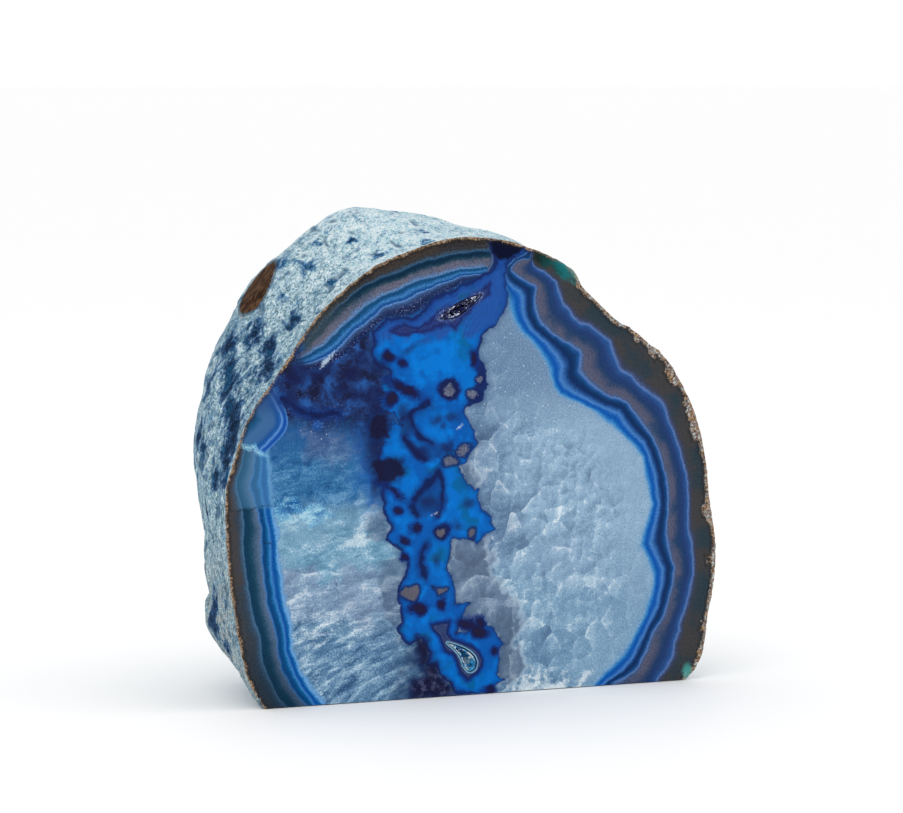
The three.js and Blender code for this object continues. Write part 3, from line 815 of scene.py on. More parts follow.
def hexagonal_points(outline, step):
    """Points of a triangular net that covers an outline, with a mark on each fourth one."""
    low, high = outline.min(0), outline.max(0)
    points, coarse = [], []
    rows = int((high[1] - low[1]) / (step * math.sqrt(0.75))) + 1
    columns = int((high[0] - low[0]) / step) + 2
    for r in range(rows):
        for c in range(columns):
            shift = (r % 2) * 0.5 + (r // 2 % 2) * (1 - r % 2)
            points.append((low[0] + (c + shift) * step, low[1] + r * step * math.sqrt(0.75)))
            coarse.append(r % 2 == 0 and c % 2 == 0)
    return np.array(points), np.array(coarse)


def stone_piece(sizes, finishes):
    """The whole stone as one closed mesh with the face, rind, base and pocket finishes."""
    solid = Solid()
    grid, rind_marks = rind_grid(solid, sizes)
    rim = grid[:, 0][:, [0, 2]]
    front = np.linspace(rim[-1, 0], rim[0, 0], int((rim[0, 0] - rim[-1, 0]) / FRONT_STEP))[1:-1]
    face_outline = np.vstack([rim, np.stack([front, np.zeros(len(front))], 1)])
    mouths = [loop[:, [0, 2]] for loop in solid.face_loops[1:]]
    net, coarse = hexagonal_points(face_outline, sizes.face_step / MM)
    edge = closed(face_outline)
    clear = is_inside(net, edge) & (distance_to(net, edge) > RIM_CLEARANCE)
    for mouth in mouths:
        clear &= ~is_inside(net, closed(mouth)) & (distance_to(net, closed(mouth)) > MOUTH_CLEARANCE)
    net, coarse = net[clear], coarse[clear]
    edges = np.vstack([face_outline] + mouths)
    all_fields = face_fields(np.vstack([edges, net]), rim, mouths)
    marks = dict(zip(FACE_FIELDS, all_fields[len(edges):].T))
    fine = (marks["vein"] > -1.5) | (marks["rim"] < 1.5) | (marks["lens"] > -1) | (marks["crack"] < 1)
    fine |= (np.abs(marks["smoky"]) < 0.8) | (marks["arc_field"] > -0.5)
    fine |= (marks["side"] > 0) & (marks["right_bands"] < 4.1)
    fine |= (marks["side"] < 0) & (marks["left_bands"] < 4.1)
    used = fine | coarse
    face_points, face_triangles, source = flat_fill([face_outline] + mouths, net[used])
    fields = np.vstack([all_fields[:len(edges)], all_fields[len(edges):][used]])[source]

    back = grid[:, -1][:, [0, 1]]
    base_outline = np.vstack([back, np.stack([front, np.zeros(len(front))], 1)])
    base_net = hexagonal_points(base_outline, sizes.base_step / MM)[0]
    edge = closed(base_outline)
    clear = is_inside(base_net, edge) & (distance_to(base_net, edge) > BASE_CLEARANCE)
    base_points, base_triangles, _ = flat_fill([base_outline], base_net[clear])

    base_fields = np.zeros((len(base_points), len(FACE_FIELDS)))
    width = 11 + 17 * np.clip((base_points[:, 0] + 30) / 60, 0, 1)
    drift = stirred(stirred(base_points, 0.12, 1.5, 23), 0.6, 0.4, 29)
    base_fields[:, FACE_FIELDS.index("right_bands")] = 4 * distance_to(drift, back) / width
    foot = 5 - np.abs(drift[:, 0] + 1 + 0.2 * drift[:, 1]) - 0.16 * drift[:, 1]
    base_fields[:, FACE_FIELDS.index("vein")] = foot

    columns, rows = grid.shape[:2]
    index = np.arange(columns * rows).reshape(columns, rows)
    a, b, c, d = index[:-1, :-1], index[1:, :-1], index[1:, 1:], index[:-1, 1:]
    rind_triangles = np.vstack([np.stack(half, 2).reshape(-1, 3) for half in ((a, d, c), (a, c, b))])
    zero = np.zeros(len(face_points))
    surfaces = (
        (np.stack([face_points[:, 0], zero, face_points[:, 1]], 1), face_triangles),
        (grid.reshape(-1, 3), rind_triangles),
        (np.column_stack([base_points, np.zeros(len(base_points))]), base_triangles),
        (solid.corners, solid.pocket),
    )
    points = np.vstack([surface[0] for surface in surfaces])
    starts = np.cumsum([0] + [len(surface[0]) for surface in surfaces])
    triangles = np.vstack([surface[1] + start for surface, start in zip(surfaces, starts)])
    kinds = np.repeat(np.arange(4), [len(surface[1]) for surface in surfaces])
    values = np.zeros((len(points), len(FACE_FIELDS + RIND_FIELDS)))
    values[:len(face_points), :len(FACE_FIELDS)] = fields
    values[starts[2]:starts[3], :len(FACE_FIELDS)] = base_fields
    values[starts[1]:starts[2], len(FACE_FIELDS):] = rind_marks.reshape(-1, len(RIND_FIELDS))
    return welded_piece(points + solid.shift, triangles, kinds, values, finishes)


def welded_piece(points, triangles, kinds, values, finishes):
    """An object of the surfaces joined along their shared edges, with its fields and finishes."""
    keys, first, same = np.unique(np.round(points, 3), axis=0, return_index=True, return_inverse=True)
    same = same.ravel()
    triangles = same[triangles]
    whole = (triangles[:, 0] != triangles[:, 1]) & (triangles[:, 1] != triangles[:, 2])
    whole &= triangles[:, 2] != triangles[:, 0]
    triangles, kinds = triangles[whole], kinds[whole]
    used, inverse = np.unique(triangles, return_inverse=True)
    triangles = inverse.reshape(-1, 3)
    mesh = bpy.data.meshes.new("agate_half")
    mesh.from_pydata((points[first][used] * MM).tolist(), [], triangles.tolist())
    mesh.polygons.foreach_set("material_index", kinds.astype(np.int32))
    for name, column in zip(FACE_FIELDS + RIND_FIELDS, values[first][used].T):
        mesh.attributes.new(name, "FLOAT", "POINT").data.foreach_set("value", column.astype(np.float32))
    for finish in finishes:
        mesh.materials.append(finish)
    shape = bmesh.new()
    shape.from_mesh(mesh)
    bmesh.ops.recalc_face_normals(shape, faces=shape.faces)
    shape.to_mesh(mesh)
    shape.free()
    mesh.polygons.foreach_set("use_smooth", np.ones(len(mesh.polygons), bool))
    mesh.set_sharp_from_angle(angle=SHARP_ANGLE)
    piece = bpy.data.objects.new("agate_half", mesh)
    bpy.context.collection.objects.link(piece)
    return piece


def quartz(f, wave, grain, cloud):
    """Quartz of both sides: rounded crystal lumps on the right, longer and bluer ones on the left, drawn
    with painted light and shade.
    """
    at = f.node("ShaderNodeCombineXYZ", {}, {"X": f.field("lump_x") + LUMP_SHIFT, "Y": f.field("lump_z")})
    bent = f.warped(at, 0.4, 1.6)
    # Painted light and shade of rounded crystal domes, lit on the upper left and shaded on the lower right.
    dome_light_and_shade = f.lumps(bent, 0.24) * 0.8 + f.lumps(bent, 0.6) * 0.6
    wisp = f.noise(0.6, 5.0, bent, 0.7) - 0.5
    frayed = f.warped(f.warped(at, 0.25, 1.2), 1.2, 0.35)
    rims = [1 - f.grade(f.cells(scale, "DISTANCE_TO_EDGE", at=frayed), 0.0, width)
            for scale, width in LUMPS]
    rim = rims[0] * f.grade(cloud + wisp, -0.04, 0.12) + rims[1] * f.grade(wisp - cloud, 0.0, 0.14) * 0.7
    # Bright lines along crystal borders: partly the quartz's own rims, partly painted highlight, stronger
    # where the domes are painted lit.
    rim = rim * (0.45 + f.grade(dome_light_and_shade, -0.15, 0.15) * 0.6)
    large, small = [f.facets(frayed, lumps[0]) for lumps in LUMPS]
    big = f.grade(f.field("vein") + cloud * 24, -24.0, -8.0)
    big = big.most(1 - f.grade(f.height + cloud * 24, 20.0, 34.0))
    shade = small + (large - small) * (big * 0.6 + 0.3)
    thread = (1 - f.grade(wisp * wisp * 1000, 0.05, 0.9)) * f.grade(cloud, -0.06, 0.1)
    mauve = f.grade(f.noise(0.07, 3.0), 0.44, 0.6)
    rightward = f.grade(f.field("side"), -0.5, 0.5)
    vein = f.field("vein") + wave * 8

    calm = f.grade(f.field("right_bands") + cloud * 0.8, 4.2, 5.3) * 0.75 + 0.25
    calm = calm * (1 - f.grade(f.height + cloud * 16, 56.0, 66.0) * 0.55)
    near = f.grade(vein, -22.0, -3.0)
    tone = 0.51 + (dome_light_and_shade * 0.15 + wisp * 0.16 + rim * (0.16 + near * 0.08)) * calm + grain * 0.75
    tone = tone + shade * (0.36 + near * 0.1) * calm - near * 0.02
    right = f.shades(tone, (0.15, 92, 118, 146), (0.36, 117, 147, 174), (0.5, 136, 166, 191),
                     (0.66, 153, 181, 203), (0.9, 212, 224, 232))
    right = f.mix(mauve * 0.2, right, rgba(134, 152, 182))
    dusky = f.shades(tone, (0.18, 70, 92, 124), (0.5, 98, 127, 159), (0.85, 156, 174, 193))
    right = f.mix(f.grade(vein, -11.0, -1.0).most(f.grade(f.height, 56.0, 70.0)) * 0.85, right, dusky)
    cool = f.shades(tone, (0.18, 74, 108, 140), (0.5, 111, 149, 178), (0.85, 184, 206, 218))
    right = f.mix((1 - f.grade(f.height + cloud * 20, 16.0, 34.0)) * 0.75, right, cool)

    bright = 0.48 + dome_light_and_shade * 0.32 + wisp * 0.75 + grain * 1.15 + thread * 0.3
    bright = bright + rim * 0.16 + shade * 0.16 + cloud * 0.14
    left = f.shades(bright, (0.1, 56, 86, 120), (0.34, 92, 128, 158), (0.5, 116, 150, 177),
                    (0.68, 142, 174, 197), (0.92, 212, 224, 232))
    left = f.mix(mauve * 0.3, left, rgba(116, 134, 162))
    clear = f.grade(f.height + cloud * 16, 26.0, 30.0)
    left = f.mix(clear * 0.3, left, rgba(112, 172, 196))
    left = f.mix((1 - clear) * f.grade(f.height + cloud * 16, 17.0, 21.0) * 0.3, left, rgba(138, 150, 176))
    low = f.shades(bright, (0.06, 44, 74, 112), (0.5, 86, 126, 160), (0.98, 166, 196, 214))
    left = f.mix((1 - f.grade(f.height + cloud * 20, 9.0, 20.0)) * 0.85, left, low)
    upper = f.shades(bright, (0.0, 24, 68, 118), (0.5, 46, 106, 154), (1.0, 100, 148, 186))
    left = f.mix(f.grade(f.height + cloud * 14, 40.5, 46.0), left, upper)
    left = f.mix(f.grade(f.height + cloud * 10, 51.0, 58.0) * 0.7, left, rgba(22, 72, 132))
    misty = f.shades(bright, (0.2, 70, 86, 122), (0.5, 92, 104, 136), (0.8, 124, 134, 160))
    left = f.mix(f.grade(f.field("mauve") + wave * 8 + cloud * 8, -3.0, 2.0) * 0.4, left, misty)
    cyan = f.shades(bright, (0.3, 22, 98, 170), (0.5, 78, 150, 194), (0.75, 156, 204, 222))
    left = f.mix(f.grade(f.field("cyan") + wave * 6 + wisp * 8, -2.0, 1.6) * 0.7, left, cyan)
    halo = f.grade(vein + wisp * 6, -9.0, -0.3) * f.grade(f.height + cloud * 12, 36.0, 46.0)
    left = f.mix(halo * 0.75, left, rgba(18, 82, 160))

    body = f.mix(rightward, left, right)
    white = f.grade(f.field("white") + wave * 4 + dome_light_and_shade * 4 + wisp * 9 + grain * 4, -1.4, 2.6)
    pale = f.shades(tone, (0.3, 182, 202, 214), (0.6, 222, 230, 232))
    body = f.mix(white * (0.76 - f.grade(f.height + wave * 6, 2.0, 6.0) * 0.34), body, pale)
    haze = 0.5 + dome_light_and_shade * 0.2 + wisp * 0.16 + rim * 0.1 + grain * 0.5 + shade * 0.5
    smoky = f.shades(haze, (0.2, 56, 76, 104), (0.55, 85, 108, 136), (0.9, 142, 161, 182))
    smoky = f.mix((1 - f.grade(f.height, 14.0, 20.0)) * 0.4, smoky, rgba(54, 74, 102))
    shore = f.field("smoky") + wave * 3 + shade * 2.5 + wisp
    body = f.mix(f.grade(shore + wisp * 2, -1.9, -0.9) * rightward * 0.3, body, rgba(196, 210, 220))
    body = f.mix(f.grade(shore, -0.9, 0.4) * 0.8, body, smoky)
    sparkle = (1 - f.grade(f.cells(0.24), 0.012, 0.05)) * f.grade(f.height + cloud * 30, 56.0, 62.0)
    return f.mix(sparkle * 0.6, body, rgba(226, 234, 242))


def wall_bands(f, wave, grain, cloud):
    """The agate walls: the right one, the left one and the arcs under the rind, each with its cover."""
    number = f.field("right_bands") + wave * 0.1 + grain * 0.05
    fine = f.wavy(number * 52) * f.grade(number, 1.0, 1.3) * 0.05 + grain * 1.2 + 0.5
    right = f.shades(number, (0, 60, 58, 56), (0.2, 40, 53, 62), (0.5, 40, 55, 64), (0.75, 46, 57, 67),
                     (0.88, 52, 61, 84), (0.95, 62, 80, 122), (1.0, 84, 112, 164), (1.04, 62, 99, 156),
                     (1.08, 34, 76, 134), (1.16, 36, 68, 122), (1.25, 32, 58, 108), (1.4, 28, 55, 98),
                     (1.6, 28, 58, 94), (1.72, 44, 64, 96), (1.82, 56, 72, 102), (1.9, 62, 80, 114),
                     (1.96, 68, 96, 142), (2.0, 84, 118, 172), (2.05, 56, 96, 156), (2.11, 26, 76, 136),
                     (2.25, 10, 56, 104), (2.42, 10, 42, 86), (2.58, 12, 44, 92), (2.72, 28, 70, 128),
                     (2.86, 50, 100, 162), (2.97, 68, 119, 182), (3.06, 52, 109, 176),
                     (3.2, 26, 90, 168), (3.4, 4, 74, 156), (3.6, 20, 96, 170), (3.8, 62, 130, 186),
                     (4.0, 94, 147, 192), reach=5)
    taupe = f.grade(number, 1.4, 1.75) * (1 - f.grade(number, 1.86, 1.95))
    taupe = taupe + 0.9 - f.grade(number, 0.75, 0.95) * 0.9
    tint = f.mix(f.grade(number, 0.9, 1.2), rgba(68, 60, 56), rgba(90, 88, 106))
    right = f.mix(taupe * f.grade(cloud, -0.16, 0.06) * 0.65, right, tint)
    right = f.mix(0.5, right, fine, "OVERLAY")
    right_cover = 1 - f.grade(number, 3.84, 4.12)

    number = f.field("left_bands") + wave * 0.22 + grain * 0.07
    left = f.shades(number, (0, 56, 54, 52), (0.3, 54, 58, 64), (0.6, 46, 58, 70), (0.76, 46, 64, 82),
                    (0.9, 54, 82, 108), (0.98, 60, 96, 126), (1.0, 70, 108, 140), (1.03, 20, 58, 88),
                    (1.12, 8, 50, 78), (1.34, 10, 54, 77), (1.5, 26, 66, 90), (1.62, 52, 80, 106),
                    (1.78, 70, 94, 120), (1.9, 78, 100, 132), (1.97, 74, 110, 154),
                    (2.06, 54, 106, 160), (2.16, 30, 84, 144), (2.24, 4, 60, 114), (2.48, 0, 62, 112),
                    (2.66, 2, 74, 126), (2.82, 20, 96, 150), (2.96, 52, 119, 178), (3.06, 52, 114, 178),
                    (3.2, 26, 90, 160), (3.4, 0, 70, 144), (3.6, 6, 84, 150), (3.78, 34, 108, 170),
                    (3.9, 78, 138, 194), (4.0, 104, 156, 206), (4.08, 88, 138, 182), reach=5)
    foot = (1 - f.grade(f.height + wave * 6, 3.0, 20.0)) * (1 - f.grade(number, 1.9, 2.4))
    left = f.mix(foot * 0.5, left, rgba(4, 34, 54))
    left = f.mix(0.5, left, f.wavy(number * 48) * 0.04 + grain * 1.3 + 0.5, "OVERLAY")
    umber = f.grade(cloud, -0.16, 0.06) * f.grade(f.height + wave * 10, 8.0, 24.0)
    left = f.mix((1 - f.grade(number, 0.6, 0.95)) * umber * 0.5, left, rgba(74, 62, 56))
    above_fissure = f.grade(f.height + wave * 1.5, 42.8, 43.6) * f.grade(number, 0.2, 1.6)
    left = f.mix(above_fissure * 0.45, left, rgba(72, 124, 164))
    left_cover = 1 - f.grade(number, 4.02, 4.1)

    number = f.field("upper_arcs") + wave * 0.2 + grain * 0.1
    arcs = f.shades(number, (0, 60, 50, 44), (0.12, 42, 38, 36), (0.4, 44, 43, 46), (0.62, 48, 52, 58),
                    (0.72, 50, 72, 94), (0.78, 48, 82, 112), (0.84, 16, 50, 78), (0.9, 2, 36, 60),
                    (1.05, 6, 42, 64), (1.18, 30, 58, 76), (1.35, 58, 74, 94), (1.6, 74, 86, 110),
                    (1.82, 82, 108, 146), (1.96, 88, 126, 172), (2.02, 58, 102, 146),
                    (2.1, 18, 68, 112), (2.25, 14, 68, 112), (2.4, 30, 90, 142), (2.56, 58, 114, 172),
                    (2.68, 36, 94, 152), (2.82, 14, 64, 126), (2.92, 44, 94, 156), (2.99, 98, 138, 194),
                    (3.05, 58, 94, 146), (3.15, 50, 78, 122), (3.4, 30, 48, 90), (3.65, 20, 32, 74),
                    (3.88, 12, 36, 84), (4.05, 28, 62, 122), (4.2, 30, 76, 146), reach=5)
    leftward = f.field("lump_x") * -2
    greyer = f.grade(leftward, 27.0, 39.0) * (1 - f.grade(number, 1.2, 1.8))
    arcs = f.mix(greyer * 0.75, arcs, rgba(54, 70, 80))
    taupe = f.grade(number, 1.2, 1.45) * (1 - f.grade(number, 1.75, 1.9))
    arcs = f.mix(f.grade(cloud, -0.14, 0.08) * taupe * 0.7, arcs, rgba(98, 96, 112))
    arcs = f.mix((1 - f.grade(number, 0.4, 0.7)) * f.grade(cloud, -0.1, 0.1) * 0.5, arcs, rgba(66, 56, 48))
    arcs = f.mix(0.7, arcs, f.wavy(number * 50) * 0.06 + grain * 1.5 + 0.5, "OVERLAY")
    specks = f.grade(grain + wave * 0.2, 0.09, 0.18) * f.grade(number, 3.15, 3.4)
    arcs = f.mix(specks * 0.6, arcs, rgba(132, 140, 182))
    depth = f.field("arc_field") + wave * 0.8
    tip = f.grade(depth, 0.2, 0.5) * (1 - f.grade(depth, 0.6, 1.1)) * f.grade(f.field("lump_x"), -1.0, 1.0)
    arcs = f.mix(tip * (1 - f.grade(number, 2.1, 2.4)) * 0.7, arcs, rgba(98, 112, 158))
    arc_cover = f.grade(f.field("arc_field"), -0.25, 0.25) * (1 - f.grade(leftward + wave * 5, 39.0, 43.5))
    return (right, right_cover), (left, left_cover), (arcs, arc_cover)


def polished_face(colours):
    """The polished cut: banded walls, quartz, the blue vein with its spots, and the crust at the rim."""
    f = Finish("polished_agate", True)
    wave = f.noise(0.3, 3.0) - 0.5
    grain = f.noise(2.4, 4.0, roughness=0.7) - 0.5
    cloud = f.noise(0.12, 4.0) - 0.5
    right, left, arcs = wall_bands(f, wave, grain, cloud)
    rightward = f.grade(f.field("side"), -0.5, 0.5)
    base = quartz(f, wave, grain, cloud)
    base = f.mix(right[1] * rightward, base, right[0])
    base = f.mix(left[1] * (1 - rightward), base, left[0])

    dark = f.grade(f.field("dark_zone") + wave * 6 + cloud * 8, -3.0, 2.2)
    blotch = f.noise(0.3, 4.0, f.warped(f.place, 0.25, 2.5), 0.6) + grain * 0.2
    zone = f.ramp(blotch, [(0.34, rgba(20, 24, 54)), (0.45, cover(colours.dark_zone)),
                           (0.56, rgba(30, 60, 116)), (0.66, rgba(34, 82, 150))])
    zone = f.mix((1 - f.grade(f.height + wave * 8, 58.0, 64.0)) * 0.5, zone, rgba(18, 58, 108))
    zone = f.mix(f.grade(grain + cloud * 0.3, 0.16, 0.22) * 0.4, zone, rgba(130, 150, 190))
    base = f.mix(dark, base, zone)
    base = f.mix(arcs[1], base, arcs[0])

    lens = f.shades(f.field("lens_border"), (0, 92, 140, 196), (0.25, 48, 104, 176), (0.6, 12, 66, 146),
                    (1.0, 28, 84, 162), (1.4, 92, 140, 198), (1.65, 40, 94, 164), (2.2, 16, 74, 142),
                    (3.2, 54, 96, 144), (5.2, 58, 100, 144), (6.5, 22, 78, 122), (8.5, 16, 62, 82),
                    reach=9)
    lens = f.mix(f.grade(f.height + wave * 3, 61.5, 67.0) * 0.75, lens, rgba(38, 70, 122))
    base = f.mix(f.grade(f.field("lens") + grain * 0.2, -0.15, 0.15), base, lens)
    crack = 1 - f.grade(f.field("crack") + grain * 1.6 + wave, 0.0, 0.9)
    crack = crack * f.grade(wave + grain, -0.3, 0.0)
    broken = f.shades(grain + 0.5, (0.4, 70, 160, 206), (0.62, 186, 226, 240))
    base = f.mix(crack * 0.8, base, broken)
    fissure = 1 - f.grade(f.field("fissure") + grain * 0.3, 0.0, 0.28)
    base = f.mix(fissure * 0.8, base, rgba(18, 40, 58))
    base = blue_vein(f, colours, base, wave, grain, cloud)
    glints = f.grade(f.field("glints") + grain * 1.4 + wave * 0.4, -0.3, 0.35)
    base = f.mix(glints * 0.75, base, rgba(186, 208, 230))

    rim = f.field("rim") + wave * 1.4 + grain * 1.4
    far_right = f.grade(f.field("side"), 6.0, 30.0)
    rim = rim - far_right * (0.25 + f.grade(cloud + wave * 0.5, -0.02, 0.14) * 1.6)
    patch = f.noise(1.6, 4.0, roughness=0.8)
    crust = f.ramp(patch, [(0.36, rgba(24, 24, 26)), (0.44, rgba(90, 74, 60)),
                           (0.51, cover(colours.crust)), (0.57, rgba(178, 164, 144)),
                           (0.62, rgba(96, 96, 90)), (0.7, rgba(230, 228, 220))])
    motley = f.shades(patch, (0.36, 30, 40, 52), (0.44, 132, 70, 42), (0.5, 150, 150, 142),
                      (0.56, 74, 110, 126), (0.62, 214, 214, 204), (0.7, 240, 240, 234))
    crust = f.mix(far_right * f.grade(f.noise(0.5, 3.0), 0.4, 0.58), crust, motley)
    base = f.mix((1 - f.grade(rim, 0.7, 1.5)) * 0.5, base, rgba(22, 22, 24))
    base = f.mix((1 - f.grade(rim, 0.1, 0.7)) * 0.92, base, crust)
    shore = f.field("lump_x") / 10 - 1.4 + wave * 0.5 + grain * 0.3
    teal = f.shades(shore, (0.05, 8, 30, 26), (0.4, 2, 66, 66), (0.75, 18, 112, 116),
                    (1.0, 66, 146, 142))
    base = f.mix(f.grade(f.field("teal_rim") + wave * 1.5 + grain, -0.7, 0.7) * 0.9, base, teal)

    f.plug(f.shader.inputs["Base Color"], base)
    f.plug(f.shader.inputs["Roughness"], 0.14 + grain * 0.12)
    f.shader.inputs["Specular IOR Level"].default_value = 0.06
    return f.material


def blue_vein(f, colours, base, wave, grain, cloud):
    """The blue vein over the face so far: azure with a navy edge, dark spots, grey windows and rings."""
    navy = cover(colours.outline)
    stray = f.grade(f.height, 54.0, 60.0) * (1 - f.grade(f.height, 67.0, 73.0))
    stray = stray * (1 - f.grade(f.field("side"), -9.0, -3.0))
    stray = stray * (f.noise(0.3, 4.0, f.warped(f.place, 0.25, 2.5), 0.6) - 0.5) * 18
    depth = f.field("vein") + wave * 1.0 + grain * 0.7 + stray
    base = f.mix(f.grade(depth, -1.6, -0.1) * 0.35, base, rgba(30, 62, 104))
    blue = f.mix(f.grade(cloud, -0.12, 0.08), cover(colours.vein_deep), cover(colours.vein))
    bright = f.grade(f.field("bright") + wave * 4, -2.5, 1.5)
    light = f.grade(f.noise(0.32, 4.0) + bright * 0.3, 0.5, 0.76)
    blue = f.mix(light * 0.8, blue, cover(colours.vein_light))
    upper = f.grade(f.height + wave * 12 - bright * 5, 76.5, 81.5)
    blue = f.mix(upper * 0.85, blue, rgba(34, 74, 146))
    contour = f.wavy(depth * 5.5 + cloud * 8)
    lines = (upper * 0.5 + 0.15) * f.grade(contour, 0.2, 0.9) * f.grade(cloud, -0.1, 0.15)
    blue = f.mix(lines * 0.5, blue, rgba(14, 42, 108))
    teal = f.grade(f.noise(0.11, 2.0, f.warped(f.place, 0.2, 6.0)), 0.56, 0.7)
    blue = f.mix(teal * 0.6, blue, rgba(0, 84, 112))
    edge = f.grade(f.height, 62.0, 68.0) * (1 - f.grade(f.height, 78.0, 82.0))
    edge = edge * f.grade(f.field("side"), 4.0, 7.0)
    inner = depth - edge * 1.6 + f.grade(f.field("side") + wave * 12, -2.0, 4.0) * (1 - edge) * 0.5
    blue = f.mix((1 - f.grade(inner, 0.3, 2.2)) * 0.6, blue, rgba(6, 52, 126))
    blue = f.mix((1 - f.grade(inner, 0.3, 1.1)) * 0.9, blue, navy)
    base = f.mix(f.grade(depth, -0.25, 0.15), base, blue)

    base = f.mix(f.grade(f.field("dusky") + wave * 3 + grain, -0.8, 1.0) * 0.65, base, rgba(14, 46, 104))
    loops = f.field("loops") + wave * 1.4 + grain * 0.7
    base = f.mix((1 - f.grade(loops, 0.4, 2.0)) * 0.8, base, rgba(12, 46, 112))
    base = f.mix((1 - f.grade(loops, 0.2, 0.9)) * 0.85, base, rgba(12, 22, 66))
    faint = f.field("faint") + wave * 1.6 + grain * 0.9
    base = f.mix(f.grade(faint, -1.1, 0.8) * 0.75, base, rgba(18, 26, 70))
    blocks = f.field("blocks") + wave * 2.4 + grain * 1.2
    foot = 1 - f.grade(f.height, 13.0, 20.0)
    shadow = f.grade(blocks + wave * 6, -7.5, 0.5) * foot * (1 - f.grade(depth, -0.6, 0.0))
    base = f.mix(shadow * 0.85, base, rgba(20, 48, 88))
    base = f.mix(f.grade(blocks, -1.8, 0.2) * 0.6, base, rgba(6, 36, 92))
    block = f.shades(grain + 0.5, (0.36, 8, 10, 34), (0.66, 26, 26, 62))
    swirl = f.grade(f.noise(0.7, 5.0, f.warped(f.place, 0.6, 1.5)), 0.46, 0.66)
    swirl = swirl * (1 - f.grade(f.height, 4.0, 7.0))
    block = f.mix(swirl * 0.7, block, rgba(74, 78, 112))
    base = f.mix(f.grade(blocks * (1 - foot * 0.6), -0.6, 0.5) * 0.95, base, block)
    spots = f.field("spots") + wave * 1.4 + grain * 0.9
    spot = f.shades(f.grade(spots, -1.0, 1.2), (0.0, 8, 52, 130), (0.35, 14, 34, 92), (0.6, 22, 24, 66),
                    (1.0, 30, 24, 50))
    base = f.mix(f.grade(spots, -1.2, 0.1), base, spot)
    base = f.mix(f.grade(f.field("top_blob") + wave * 2, -0.9, 0.5), base, rgba(2, 8, 38))

    grey = f.field("grey") + wave * 1.0 + grain * 0.7
    window = f.shades(grain + wave * 0.5 + 0.5, (0.28, 70, 76, 104), (0.5, 92, 97, 116),
                      (0.76, 122, 128, 148))
    window = f.mix((1 - f.grade(f.height, 34.0, 48.0)) * 0.75, window, cover(colours.grey))
    base = f.mix(f.grade(grey, -0.9, -0.2) * 0.85, base, rgba(14, 32, 82))
    base = f.mix(f.grade(grey, -0.15, 0.35) * 0.9, base, window)

    tongues = f.field("tongues") + wave * 1.6 + grain * 0.7
    tongue = f.shades(f.grade(tongues, -0.6, 2.2), (0.0, 26, 56, 124), (0.24, 26, 34, 84),
                      (0.4, 36, 58, 120), (0.58, 38, 46, 98), (0.85, 42, 46, 84))
    base = f.mix(f.grade(tongues, -0.8, -0.1), base, tongue)
    along = (f.across + 3.9) * 0.84 + (f.height - 85.2) * 0.54
    ends = f.grade(along * along, 5.0, 16.0) * 0.8 + 0.1
    druse = 1 - f.grade(f.field("upper_mouth") + wave * 2 + grain * 2.5, 0.1, 1.2)
    sugar = f.shades(grain + wave * 0.3 + 0.5, (0.4, 26, 40, 98), (0.54, 60, 84, 146),
                     (0.66, 190, 212, 242))
    base = f.mix(druse * ends, base, sugar)
    ring_depth = f.field("ring") + grain * 0.5 + wave * 0.6
    ring = f.shades(f.grade(ring_depth, -0.6, 2.6), (0.0, 8, 70, 156), (0.2, 12, 34, 88),
                    (0.36, 34, 48, 94), (0.48, 62, 76, 118), (0.56, 32, 44, 88), (0.7, 54, 70, 110),
                    (0.85, 30, 52, 98))
    base = f.mix(f.grade(ring_depth, -0.7, -0.1), base, ring)
    mouth = 1 - f.grade(f.field("mouth") + grain * 0.5, 0.05, 0.42)
    return f.mix(mouth * 0.75, base, rgba(134, 190, 216))


